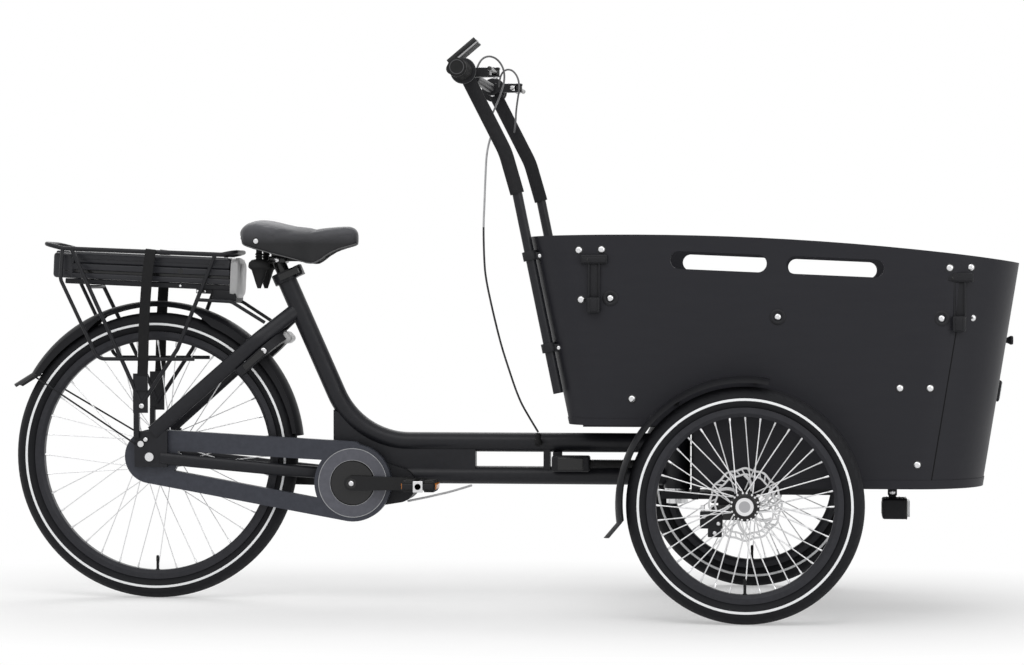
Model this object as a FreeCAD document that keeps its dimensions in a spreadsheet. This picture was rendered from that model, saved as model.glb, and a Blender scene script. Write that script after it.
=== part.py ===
"""Electric cargo tricycle: two steered wheels beside a front cargo box, one driven wheel behind.

Stations are measured forward of the rear axle, heights above the ground, and +Y is the rider's left.
Each sub-part then moves back by the middle station, so the frame's origin lies on the ground under
the middle of the whole length.
"""
import FreeCAD
import Part
import Sketcher
import math
import os
import re
from types import SimpleNamespace

V = FreeCAD.Vector
AHEAD = V(1, 0, 0)
LEFT = V(0, 1, 0)
UP = V(0, 0, 1)

SIZES = {
    # clearances
    "fit_gap": 0.3,
    "shaft_gap": 0.05,
    "overrun": 5,
    # wheels: tyre outer radius, bead seat and sections
    "rear_wheel_radius": 329.5,
    "front_wheel_radius": 253,
    "rear_bead_radius": 279.5,
    "front_bead_radius": 203,
    "tyre_width": 50,
    "tyre_casing": 3.5,
    "tread_width": 30,
    "tread_drop": 5,
    "rim_width": 30,
    "rim_wall": 2,
    "rim_flange": 6,
    "rim_depth": 14,
    "rim_shoulder": 6,
    "rim_well_width": 16,
    "wheelbase": 1362,
    "half_track": 400,
    "front_spoke_radius": 1.4,
    "rear_spoke_radius": 1.1,
    "spoke_weave": 2.2,
    "spoke_spread": 4,
    "front_spoke_slant": 22,
    "rear_spoke_slant": 46,
    "hub_flange_width": 3,
    "front_flange_radius": 31,
    "front_flange_offset": 24,
    "front_hub_radius": 17,
    "front_hub_half": 32,
    "rear_flange_radius": 38,
    "rear_flange_offset": 28,
    "rear_hub_radius": 27,
    "rear_hub_half": 40,
    "wheel_bolt_radius": 8,
    "bolt_cap_radius": 19,
    "bolt_cap_depth": 6,
    "rotor_radius": 80,
    "rotor_thickness": 2,
    "rotor_bore": 9,
    "rotor_window_inner": 29,
    "rotor_window_outer": 62,
    "rotor_arm_width": 9,
    "rotor_arm_lean": 20,
    "rotor_hole_radius": 2.4,
    "rotor_hole_inner": 67.5,
    "rotor_hole_outer": 73,
    "rotor_hole_lean": 6,
    "rotor_wave_radius": 9,
    "rotor_wave_depth": 2.5,
    # frame tubes
    "seat_top_station": 295,
    "seat_top_height": 752,
    "seat_tube_angle": 24,
    "main_tube_radius": 22,
    "main_tube_height": 363.5,
    "main_tube_bend": 185,
    "lower_tube_radius": 20.5,
    "lower_tube_height": 288.5,
    "tube_wall": 2.5,
    "web_start": 578,
    "web_end": 741,
    "web_thickness": 30,
    "gusset_station": 414,
    "gusset_top": 436,
    "gusset_bottom": 345,
    "web_post_start": 897,
    "web_post_length": 15,
    "pivot_station": 1200,
    "head_tube_radius": 30,
    "head_tube_bottom": 262,
    "head_tube_top": 392,
    "bearing_radius": 20,
    "bearing_length": 20,
    "bearing_flange": 28,
    "kingpin_radius": 15,
    "kingpin_head_radius": 24,
    "kingpin_head": 12,
    "stay_height": 17,
    "stay_width": 9,
    "stay_top_station": 326,
    "stay_top_height": 664,
    "stay_top_offset": 12,
    "stay_knee_station": 250,
    "stay_knee_height": 599,
    "stay_knee_offset": 60,
    "stay_bend": 45,
    "stay_end_station": 6,
    "stay_end_height": 384,
    "stay_offset": 73,
    "chainstay_height": 14,
    "chainstay_width": 8.5,
    "chainstay_rear_station": 24,
    "chainstay_rear_height": 327,
    "chainstay_turn_station": 95,
    "chainstay_turn_height": 320,
    "chainstay_knee_station": 300,
    "chainstay_knee_height": 300,
    "chainstay_knee_offset": 46,
    "chainstay_front_station": 425,
    "chainstay_front_height": 290,
    "chainstay_front_offset": 18,
    "chainstay_bend": 120,
    "dropout_offset": 68,
    "dropout_thickness": 8,
    "dropout_front": 40,
    "dropout_rear": 36,
    "dropout_top": 388,
    "dropout_bottom": 306,
    # drive
    "crank_station": 465.5,
    "crank_height": 272,
    "crank_axle_radius": 10,
    "crank_length": 165,
    "crank_arm_offset": 66,
    "crank_arm_thickness": 14,
    "crank_boss_radius": 17,
    "crank_end_radius": 13,
    "pedal_axle_radius": 7,
    "pedal_length": 80,
    "pedal_width": 92,
    "pedal_thickness": 26,
    "pedal_gap": 5,
    "motor_radius": 62,
    "motor_right": 38,
    "motor_left": 56,
    "motor_nose_station": 566,
    "motor_nose_height": 266,
    "motor_nose_radius": 40,
    "bracket_wall": 13,
    "bracket_half_width": 34,
    "chain_offset": 51,
    "chain_width": 7,
    "chain_half_height": 4,
    "chainring_pitch": 72.9,
    "sprocket_pitch": 32.5,
    "tooth_clearance": 0.5,
    "tooth_notch": 3,
    "ring_thickness": 3,
    "spider_radius": 49,
    "sprocket_boss_radius": 18,
    "sprocket_boss_reach": 8,
    "case_width": 22,
    "case_wall": 2.2,
    "case_rear_radius": 62,
    "case_front_radius": 88,
    "case_upper_half": 23,
    "case_lower_half": 19.5,
    "case_upper_lift": 6,
    "window_radius": 79,
    "window_bore": 51,
    "window_thickness": 3,
    "case_hub_hole": 30,
    "case_axle_hole": 14,
    "rear_axle_radius": 5,
    "axle_nut_radius": 10,
    "axle_nut_height": 9,
    "axle_spacer_radius": 9,
    "dropout_bolt_radius": 7,
    "dropout_bolt_height": 4,
    # rear mudguard, rack, battery and lock
    "guard_edge_radius": 331,
    "guard_crown_radius": 344,
    "guard_half_width": 29,
    "guard_lift": 12,
    "guard_thickness": 2.5,
    "guard_front_angle": 6,
    "guard_rear_angle": 149,
    "guard_flap_back": 42,
    "guard_flap_drop": 26,
    "guard_stay_radius": 2,
    "rack_tube_radius": 5,
    "rack_leg_radius": 4.6,
    "pannier_radius": 4.3,
    "rack_cross_radius": 4.2,
    "rack_bend": 25,
    "rack_half_width": 66,
    "rack_rear_station": -248,
    "rack_rear_height": 817,
    "rack_front_station": 194,
    "rack_front_height": 797,
    "rack_rise_station": -205,
    "rack_rise_height": 806,
    "rack_dip_station": 165,
    "rack_dip_height": 791,
    "rack_foot_offset": 84,
    "rear_leg_station": -185,
    "rear_leg_knee_station": -40,
    "rear_leg_knee_rise": 48,
    "front_leg_station": 150,
    "front_leg_knee_station": 66,
    "front_leg_knee_rise": 124,
    "rack_foot_station": -20,
    "rack_foot_height": 452,
    "rack_rail_gap": 1,
    "rack_plate_width": 34,
    "rack_plate_drop": 22,
    "rack_plate_height": 90,
    "rack_foot_spread": 6,
    "rack_plate_thickness": 4,
    "rack_strip_width": 12,
    "pannier_height": 553,
    "pannier_rear_station": -119,
    "pannier_top_station": -206,
    "pannier_top_height": 735,
    "pannier_end_station": 105,
    "rack_tie_share": 0.48,
    "rack_tie_knee_station": 186,
    "rack_tie_knee_height": 684,
    "rack_tie_knee_offset": 62,
    "rack_tie_front_station": 262,
    "rack_tie_front_height": 636,
    "rack_tie_front_offset": 52,
    "rack_tie_radius": 4,
    "battery_length": 415,
    "battery_width": 98,
    "battery_height": 63,
    "battery_rear_station": -235,
    "battery_bottom_height": 739.5,
    "battery_slope": 2.5,
    "battery_edge": 9,
    "battery_rail_height": 12,
    "battery_rail_width": 90,
    "battery_rail_inset": 30,
    "battery_cap_length": 20,
    "controller_length": 62,
    "controller_height": 26,
    "lock_outer_radius": 70,
    "lock_inner_radius": 47,
    "lock_thickness": 20,
    "lock_reach": 306,
    "lock_gap": 1.5,
    "lock_arm_length": 66,
    # seat
    "seat_post_radius": 15,
    "seat_post_depth": 200,
    "seat_post_rise": 26,
    "clamp_wall": 7,
    "clamp_height": 24,
    "clamp_ear_length": 14,
    "clamp_ear_width": 26,
    "clamp_lever_length": 44,
    "clamp_lever_height": 14,
    "clamp_lever_thickness": 7,
    "clamp_pin_radius": 3,
    "saddle_setback": 82.4,
    "saddle_length": 267,
    "saddle_width": 196,
    "saddle_rise": 98.2,
    "saddle_roof_drop": 62,
    "saddle_depth": 108,
    "saddle_skirt": 9,
    "saddle_plate_thickness": 6,
    "saddle_plate_half_width": 12,
    "rail_radius": 3.5,
    "rail_drop": 26,
    "rail_bend": 18,
    "saddle_clamp_length": 40,
    "saddle_clamp_width": 46,
    "saddle_clamp_height": 16,
    "buffer_radius": 17,
    "buffer_tip_radius": 3,
    "buffer_height": 52,
    "buffer_stem_radius": 7,
    "buffer_inset": 43,
    "buffer_offset": 42,
    "buffer_drop": 98,
    # cargo box
    "box_half_width": 320,
    "box_rear_station": 890.5,
    "box_front_station": 1953,
    "box_top_height": 827,
    "box_mid_station": 1400,
    "box_mid_fall": 4.5,
    "box_nose_fall": 58,
    "box_rear_bottom": 418,
    "box_front_bottom": 284.5,
    "box_rear_lean": 11.8,
    "box_front_lean": 9.2,
    "box_rear_corner": 80,
    "box_front_corner": 170,
    "panel_thickness": 12,
    "rear_floor_thickness": 19,
    "front_floor_thickness": 23,
    "floor_lip": 1.5,
    "floor_rebate": 4,
    "step_station": 1250,
    "seam_station": 1749.5,
    "seam_lean": 8.6,
    "slot_height": 38,
    "rear_slot_start": 1199,
    "rear_slot_length": 207,
    "rear_slot_drop": 55.5,
    "front_slot_start": 1448,
    "front_slot_length": 208,
    "front_slot_drop": 66.5,
    "slot_slope": 2.6,
    "box_bolt_radius": 7.5,
    "box_bolt_height": 4,
    "stud_radius": 9,
    "stud_height": 6,
    "holder_width": 22,
    "holder_thickness": 6,
    "holder_plate_length": 58,
    "holder_plate_height": 20,
    "holder_drop": 126,
    "holder_cup_radius": 13,
    "holder_cup_height": 34,
    "reflector_width": 60,
    "reflector_height": 45,
    "reflector_depth": 7,
    "reflector_place": 464,
    "knob_radius": 9,
    "knob_depth": 12,
    "knob_height": 598,
    # front subframe
    "beam_size": 30,
    "axle_end": 364,
    "arm_half_width": 45,
    "arm_bottom": 240,
    "arm_thickness": 16,
    "arm_rear_reach": 35,
    "upper_arm_thickness": 20,
    "upper_arm_half_width": 60,
    "post_thickness": 15,
    "rail_offset": 200,
    "rail_width": 30,
    "rail_height": 20,
    "rail_front_station": 1610,
    "floor_bar_offset": 150,
    "floor_bar_height": 10,
    "floor_bar_start": 1000,
    "caliper_length": 46,
    "caliper_outboard": 6.5,
    "caliper_inboard": 17,
    "caliper_height": 34,
    "caliper_slot": 5,
    "caliper_angle": 205,
    "caliper_lug": 12,
    # front mudguards
    "front_guard_edge_radius": 262,
    "front_guard_crown_radius": 276,
    "front_guard_half_width": 36,
    "front_guard_start_angle": 79,
    "front_guard_end_angle": 188,
    "front_flap_back": 27,
    "front_flap_drop": 32,
    "guard_strut_radius": 6,
    # headlight
    "lamp_station": 1661,
    "lamp_length": 54,
    "lamp_half_width": 34,
    "lamp_bottom": 197,
    "lamp_height": 46,
    "lens_depth": 7,
    "lens_border": 5,
    "lamp_pivot_station": 1684,
    "lamp_pivot_height": 256,
    "lamp_pin_radius": 4,
    "lamp_ear_offset": 12,
    "lamp_ear_thickness": 3,
    "lamp_ear_length": 20,
    "lamp_ear_bottom": 250,
    "lamp_lug_length": 16,
    # handlebar
    "bar_radius": 11,
    "upright_offset": 280,
    "bar_foot_station": 954,
    "bar_foot_height": 486,
    "bar_sleeve_station": 864,
    "bar_sleeve_height": 921,
    "bar_bend_station": 838,
    "bar_bend_height": 1011,
    "bar_station": 748,
    "bar_height": 1187,
    "bar_bend": 160,
    "bar_half_length": 415,
    "sleeve_radius": 15.5,
    "sleeve_top_gap": 14,
    "clip_wall": 5,
    "clip_height": 20,
    "clip_reach": 45,
    "upper_clip_height": 775,
    "lower_clip_height": 575,
    "grip_radius": 20,
    "grip_start": 302,
    "grip_wing_radius": 12,
    "grip_wing_back": 11,
    "grip_wing_drop": 4,
    "lever_clamp_offset": 236,
    "lever_clamp_width": 22,
    "lever_clamp_wall": 6,
    "lever_body_half_height": 10,
    "lever_pivot_reach": 65,
    "lever_slot_half": 6.3,
    "lever_half_height": 5.8,
    "lever_boss_radius": 9,
    "lever_pin_radius": 3,
    "lever_blade_width": 11,
    "lever_length": 124,
    "display_length": 79,
    "display_width": 60,
    "display_thickness": 16,
    "display_angle": 40,
    "display_offset": 120,
    "display_rise": 36,
    # cables
    "control_cable_radius": 2.3,
    "brake_cable_radius": 2.2,
    "motor_cable_radius": 2.5,
    "gland_radius": 8,
    "junction_start": 919,
    "junction_length": 86,
    "junction_width": 34,
    "junction_height": 36,
    "junction_inner": 23,
    "junction_bracket": 20,
    "junction_middle": 318,
    "conduit_radius": 9.5,
    "conduit_end": 1120,
}
SPOKES = 36
ROTOR_ARMS = 6
ROTOR_HOLES = 20
ROTOR_WAVES = 10
CHAINRING_TEETH = 36
SPROCKET_TEETH = 16

doc = FreeCAD.newDocument("cargo_tricycle")
sheet = doc.addObject("Spreadsheet::Sheet", "Sizes")
for row, (size_name, size_value) in enumerate(SIZES.items(), start=1):
    sheet.set(f"A{row}", size_name)
    sheet.set(f"B{row}", str(size_value))
    sheet.setAlias(f"B{row}", size_name)
sheet.set("D1", "0")
sheet.setAlias("D1", "middle_station")
doc.recompute()
s = SimpleNamespace(**{size_name: sheet.get(size_name) for size_name in SIZES})
NODES = {}


# Document helpers: bound primitives, bodies and nodes
def on_sheet(formula):
    """The same formula with every size name pointed at the sheet."""
    names = set(SIZES) | {"middle_station"}
    return re.sub("[a-z_]+", lambda word: "Sizes." * (word.group() in names) + word.group(), formula)


def bind(piece, formulas):
    for place, formula in formulas.items():
        piece.setExpression(place, on_sheet(formula))


def put(piece, x, y, z):
    bind(piece, {"Placement.Base.x": x, "Placement.Base.y": y, "Placement.Base.z": z})
    return piece


def node(label, piece, x="0", y="0", z="0"):
    """Registers a sub-part; its station formula is moved back by the middle station."""
    piece.Label = label
    NODES[label] = put(piece, f"{x} - middle_station", y, z)
    return piece


def feature(name, shape, lean=0):
    """A shape that no primitive fits, leaning by an angle about its own cross axis."""
    piece = doc.addObject("Part::Feature", name)
    piece.Shape = shape
    piece.Placement = FreeCAD.Placement(V(0, 0, 0), FreeCAD.Rotation(LEFT, lean))
    return piece


def rod(name, radius, length, x, y, z, along=UP):
    """A cylinder from the given point, running the given way."""
    piece = doc.addObject("Part::Cylinder", name)
    piece.Placement.Rotation = FreeCAD.Rotation(UP, along)
    bind(piece, {"Radius": radius, "Height": length})
    return put(piece, x, y, z)


def block(name, length, width, height, x, y, z):
    """A box from its lowest corner."""
    piece = doc.addObject("Part::Box", name)
    bind(piece, {"Length": length, "Width": width, "Height": height})
    return put(piece, x, y, z)


def fused(name, *pieces):
    piece = doc.addObject("Part::MultiFuse", name)
    piece.Shapes = list(pieces)
    return piece


def grouped(name, *pieces):
    piece = doc.addObject("Part::Compound", name)
    piece.Links = list(pieces)
    return piece


def cut(name, base, *tools):
    piece = doc.addObject("Part::Cut", name)
    piece.Base = base
    piece.Tool = tools[0] if len(tools) == 1 else fused(name + "_tools", *tools)
    return piece


def mirrored(name, source):
    """The same piece on the other side of the middle plane."""
    piece = doc.addObject("Part::Mirroring", name)
    piece.Source = source
    piece.Normal = LEFT
    return piece


def turned(name, corners, plane="XY_Plane"):
    """A body turned about its own axis from corners of radius and place along the axis."""
    body = doc.addObject("PartDesign::Body", name)
    sketch = body.newObject("Sketcher::SketchObject", name + "_outline")
    support = [origin for origin in body.Origin.OriginFeatures if origin.Role == plane]
    sketch.AttachmentSupport = [(support[0], "")]
    sketch.MapMode = "FlatFace"
    count = len(corners)
    turns = [2 * math.pi * index / count for index in range(count + 1)]
    ring = [V(math.cos(turn), math.sin(turn), 0) for turn in turns]
    for start, end in zip(ring, ring[1:]):
        sketch.addGeometry(Part.LineSegment(start, end))
    for index in range(count):
        sketch.addConstraint(Sketcher.Constraint("Coincident", index, 2, (index + 1) % count, 1))
    for index, corner in enumerate(corners):
        for way, formula in zip(("DistanceX", "DistanceY"), corner):
            number = sketch.addConstraint(Sketcher.Constraint(way, -1, 1, index, 1, 1))
            sketch.setExpression(f"Constraints[{number}]", on_sheet(formula))
    turn = body.newObject("PartDesign::Revolution", name + "_turn")
    turn.Profile = sketch
    turn.ReferenceAxis = (sketch, ["V_Axis"])
    turn.Angle = 360
    return body


# Shape helpers: tubes, wrapped outlines and turned shells
def route(points, bends):
    """Straight runs joined by tangent arcs, one radius for each inner point."""
    edges = []
    start = points[0]
    for before, corner, after, bend in zip(points, points[1:], points[2:], bends):
        back = (before - corner).normalize()
        on = (after - corner).normalize()
        half = back.getAngle(on) / 2
        reach = bend / math.tan(half)
        inward = (back + on).normalize()
        nearest = corner + inward * (bend / math.sin(half) - bend)
        edges.append(Part.LineSegment(start, corner + back * reach).toShape())
        edges.append(Part.Arc(corner + back * reach, nearest, corner + on * reach).toShape())
        start = corner + on * reach
    edges.append(Part.LineSegment(start, points[-1]).toShape())
    return Part.Wire(edges)


def tube(points, radius, bend=0):
    """A round solid along a route with one bend radius."""
    path = route(points, [bend] * (len(points) - 2))
    section = Part.Wire(Part.Circle(points[0], points[1] - points[0], radius).toShape())
    return path.makePipeShell([section], True, False)


def flat_tube(points, height, width, bend):
    """A tube of oval section, tall in the plane of the wheel."""
    path = route(points, [bend] * (len(points) - 2))
    on = (points[1] - points[0]).normalize()
    tall = on.cross(LEFT).normalize()
    wide = tall.cross(on).normalize()
    oval = Part.Ellipse(points[0] + tall * height, points[0] + wide * width, points[0])
    return path.makePipeShell([Part.Wire(oval.toShape())], True, False)


def cord(points, radius, label):
    """A limp cord: each arc is as large as its two runs allow, and the radii are printed."""
    bends = []
    bend_share = 0.45
    for before, corner, after in zip(points, points[1:], points[2:]):
        turn = math.pi - (before - corner).getAngle(after - corner)
        shorter = min((before - corner).Length, (after - corner).Length)
        bends.append(bend_share * shorter / math.tan(turn / 2))
    path = route(points, bends)
    section = Part.Wire(Part.Circle(points[0], points[1] - points[0], radius).toShape())
    solid = path.makePipeShell([section], True, False)
    share = solid.Volume / (math.pi * radius**2 * path.Length)
    radii = [round(bend) for bend in bends]
    print(label, "length", round(path.Length), "radii", radii, "volume share", round(share, 4))
    return solid


def wrapped(first, first_radius, second, second_radius):
    """A closed outline round two circles, in the plane of the wheel, as a face."""
    way = second - first
    lean = math.acos((first_radius - second_radius) / way.Length)
    heading = math.atan2(way.z, way.x)

    def at(centre, radius, angle):
        return centre + V(math.cos(angle), 0, math.sin(angle)) * radius

    upper = heading + lean
    lower = heading - lean
    edges = [
        Part.LineSegment(at(first, first_radius, upper), at(second, second_radius, upper)).toShape(),
        Part.Arc(
            at(second, second_radius, upper),
            at(second, second_radius, heading),
            at(second, second_radius, lower),
        ).toShape(),
        Part.LineSegment(at(second, second_radius, lower), at(first, first_radius, lower)).toShape(),
        Part.Arc(
            at(first, first_radius, lower),
            at(first, first_radius, heading + math.pi),
            at(first, first_radius, upper),
        ).toShape(),
    ]
    return Part.Face(Part.Wire(edges))


def between(face, low, high):
    """A face of the middle plane pushed out between two places across the tricycle."""
    face = face.copy()
    face.translate(LEFT * low)
    return face.extrude(LEFT * (high - low))


def outline(points):
    """A face from stations and heights in the middle plane."""
    corners = [V(x, 0, z) for x, z in points]
    return Part.Face(Part.makePolygon(corners + corners[:1]))


def disc(x, z, radius, low, high):
    return Part.makeCylinder(radius, high - low, V(x, low, z), LEFT)


def brick(x_low, x_high, y_low, y_high, z_low, z_high):
    return Part.makeBox(x_high - x_low, y_high - y_low, z_high - z_low, V(x_low, y_low, z_low))


def both_sides(solids):
    """The solids and their mirror images."""
    return solids + [solid.mirror(V(0, 0, 0), LEFT) for solid in solids]


def joined(solids):
    """One solid from touching solids."""
    return solids[0].multiFuse(solids[1:]).removeSplitter()


# Wheels
def tyre_shape(radius, bead):
    """A hollow casing, open between its beads, turned about the wheel's axis."""
    foot = s.rim_width / 2 - s.rim_wall - s.fit_gap
    lip = bead + s.rim_flange + s.fit_gap
    belly = (radius + bead) / 2
    wide = s.tyre_width / 2
    tread = s.tread_width / 2
    shoulder = radius - s.tread_drop
    skin = s.tyre_casing

    def half(side, inset):
        return [
            V(0, side * (foot - inset), bead),
            V(0, side * (foot - inset), lip),
            V(0, side * (wide - inset), belly),
            V(0, side * (tread - inset / 2), shoulder - inset),
        ]

    edges = []
    for inset in (0, skin):
        left = half(1, inset)
        right = half(-1, inset)
        crown = V(0, 0, radius - inset)
        edges.append(Part.LineSegment(left[0], left[1]).toShape())
        edges.append(Part.Arc(*left[1:]).toShape())
        edges.append(Part.Arc(left[3], crown, right[3]).toShape())
        edges.append(Part.Arc(*right[1:]).toShape())
        edges.append(Part.LineSegment(right[0], right[1]).toShape())
    for side in (1, -1):
        edges.append(Part.LineSegment(half(side, 0)[0], half(side, skin)[0]).toShape())
    section = Part.Face(Part.Wire(Part.__sortEdges__(edges)))
    return section.revolve(V(0, 0, 0), LEFT, 360)


def rim_body(name, bead):
    """A channel rim, open outward, with a well for the spoke ends."""
    half = "rim_width / 2"
    well = "rim_well_width / 2"
    shoulder = f"{bead} - rim_shoulder"
    floor = f"{bead} - rim_depth"
    outer = [(f"{bead} + rim_flange", half), (shoulder, half), (floor, well)]
    inner = [
        (f"{floor} + rim_wall", f"{well} - rim_wall / 2"),
        (f"{shoulder} + rim_wall / 2", f"{half} - rim_wall"),
        (f"{bead} + rim_flange", f"{half} - rim_wall"),
    ]
    side = [(radius, f"-({along})") for radius, along in outer]
    return turned(name, side + outer[::-1] + inner[::-1] + [(r, f"-({a})") for r, a in inner])


def spoke_shapes(flange, offset, rim_bead, slant, radius):
    """Spokes laced from both flanges to the rim, leading and trailing by turns."""
    tip = rim_bead - s.rim_depth - s.fit_gap
    spokes = []
    for index in range(SPOKES):
        side = 1 if index % 2 else -1
        lead = 1 if index // 2 % 2 else -1
        at_rim = 2 * math.pi * index / SPOKES
        at_hub = at_rim + lead * math.radians(slant)
        across = side * (offset + s.hub_flange_width / 2 + lead * s.spoke_weave)
        outward = V(math.cos(at_hub), 0, math.sin(at_hub))
        end = V(tip * math.cos(at_rim), side * s.spoke_spread, tip * math.sin(at_rim))
        foot = outward * flange + LEFT * across
        tilt = math.sin((end - foot).getAngle(outward))
        start = foot + outward * (radius * tilt + s.shaft_gap)
        spokes.append(Part.makeCylinder(radius, (end - start).Length, start, end - start))
    return Part.makeCompound(spokes)


def hub_body(name, bore, core, flange, offset, half):
    outside = f"{offset} + hub_flange_width"
    right = [(bore, half), (core, half), (core, outside), (flange, outside), (flange, offset), (core, offset)]
    left = [(radius, f"-({along})") for radius, along in right]
    return turned(name, right + left[::-1])


def front_wheels():
    place = ("wheelbase", "-half_track", "front_wheel_radius")
    other = ("wheelbase", "half_track", "front_wheel_radius")
    bore = "wheel_bolt_radius + shaft_gap"
    hub_sizes = ("front_hub_radius", "front_flange_radius", "front_flange_offset", "front_hub_half")
    lacing = (s.front_flange_radius, s.front_flange_offset, s.front_bead_radius, s.front_spoke_slant)
    for side, where in (("right", place), ("left", other)):
        tyre = feature(f"front_tyre_{side}", tyre_shape(s.front_wheel_radius, s.front_bead_radius))
        node(f"front_tyre_{side}", tyre, *where)
        node(f"front_rim_{side}", rim_body(f"front_rim_{side}", "front_bead_radius"), *where)
        spokes = feature(f"front_spokes_{side}", spoke_shapes(*lacing, s.front_spoke_radius))
        node(f"front_spokes_{side}", spokes, *where)
        node(f"front_hub_{side}", hub_body(f"front_hub_{side}", bore, *hub_sizes), *where)
        inward = 1 if side == "right" else -1
        node(f"front_rotor_{side}", rotor_piece(f"front_rotor_{side}", inward), *where)


def polar(reach, degrees):
    """A point of the wheel's plane at a reach and an angle."""
    turn = math.radians(degrees)
    return V(reach * math.cos(turn), 0, reach * math.sin(turn))


def rotor_window(middle):
    """The open face between two leaning arms of a rotor."""
    rims = []
    for reach, lean in ((s.rotor_window_inner, 0), (s.rotor_window_outer, s.rotor_arm_lean)):
        half = 180 / ROTOR_ARMS - math.degrees(s.rotor_arm_width / 2 / reach)
        rims.append([polar(reach, middle + lean + turn) for turn in (-half, 0, half)])
    inner, outer = rims
    edges = [
        Part.Arc(*inner).toShape(),
        Part.LineSegment(inner[2], outer[2]).toShape(),
        Part.Arc(*reversed(outer)).toShape(),
        Part.LineSegment(outer[0], inner[0]).toShape(),
    ]
    return Part.Face(Part.Wire(edges))


def rotor_piece(name, inward):
    """A brake disc seated on the inner end of the hub, with open arms, oblong holes and a waved rim."""
    low = "front_hub_half" if inward > 0 else "-front_hub_half - rotor_thickness"
    plate = rod(name + "_plate", "rotor_radius", "rotor_thickness", "0", low, "0", LEFT)
    bore = rod(name + "_bore", "rotor_bore", "rotor_thickness", "0", low, "0", LEFT)
    start = inward * s.front_hub_half - (inward < 0) * s.rotor_thickness
    end = start + s.rotor_thickness
    holes = [between(rotor_window(360 * index / ROTOR_ARMS), start, end) for index in range(ROTOR_ARMS)]
    for index in range(ROTOR_HOLES):
        turn = 360 * index / ROTOR_HOLES
        ends = polar(s.rotor_hole_inner, turn), polar(s.rotor_hole_outer, turn + s.rotor_hole_lean)
        radius = s.rotor_hole_radius
        holes.append(between(wrapped(ends[0], radius, ends[1], radius), start, end))
    reach = s.rotor_radius + s.rotor_wave_radius - s.rotor_wave_depth
    for index in range(ROTOR_WAVES):
        middle = polar(reach, 360 * index / ROTOR_WAVES)
        holes.append(disc(middle.x, middle.z, s.rotor_wave_radius, start, end))
    return cut(name, plate, bore, feature(name + "_holes", Part.makeCompound(holes)))


def rear_wheel():
    place = ("0", "0", "rear_wheel_radius")
    node("rear_tyre", feature("rear_tyre", tyre_shape(s.rear_wheel_radius, s.rear_bead_radius)), *place)
    node("rear_rim", rim_body("rear_rim", "rear_bead_radius"), *place)
    lacing = (s.rear_flange_radius, s.rear_flange_offset, s.rear_bead_radius, s.rear_spoke_slant)
    node("rear_spokes", feature("rear_spokes", spoke_shapes(*lacing, s.rear_spoke_radius)), *place)
    bore = "rear_axle_radius + shaft_gap"
    sizes = ("rear_hub_radius", "rear_flange_radius", "rear_flange_offset", "rear_hub_half")
    node("rear_hub", hub_body("rear_hub", bore, *sizes), *place)


# Rear frame
def seat_line(along):
    """A point on the seat tube's axis, measured up from its top."""
    lean = math.radians(s.seat_tube_angle)
    return V(s.seat_top_station - along * math.sin(lean), 0, s.seat_top_height + along * math.cos(lean))


def main_tube_points():
    fall = s.seat_top_height - s.main_tube_height
    corner = s.seat_top_station + fall * math.tan(math.radians(s.seat_tube_angle))
    return [seat_line(0), V(corner, 0, s.main_tube_height), V(s.pivot_station, 0, s.main_tube_height)]


def stay_points(side):
    top = V(s.stay_top_station, side * s.stay_top_offset, s.stay_top_height)
    knee = V(s.stay_knee_station, side * s.stay_knee_offset, s.stay_knee_height)
    end = V(s.stay_end_station, side * s.stay_offset, s.stay_end_height)
    return [top, knee, end]


def chainstay_points(side):
    end = V(s.chainstay_rear_station, side * s.stay_offset, s.chainstay_rear_height)
    turn = V(s.chainstay_turn_station, side * s.stay_offset, s.chainstay_turn_height)
    knee = V(s.chainstay_knee_station, side * s.chainstay_knee_offset, s.chainstay_knee_height)
    front = V(s.chainstay_front_station, side * s.chainstay_front_offset, s.chainstay_front_height)
    return [end, turn, knee, front]


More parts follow.
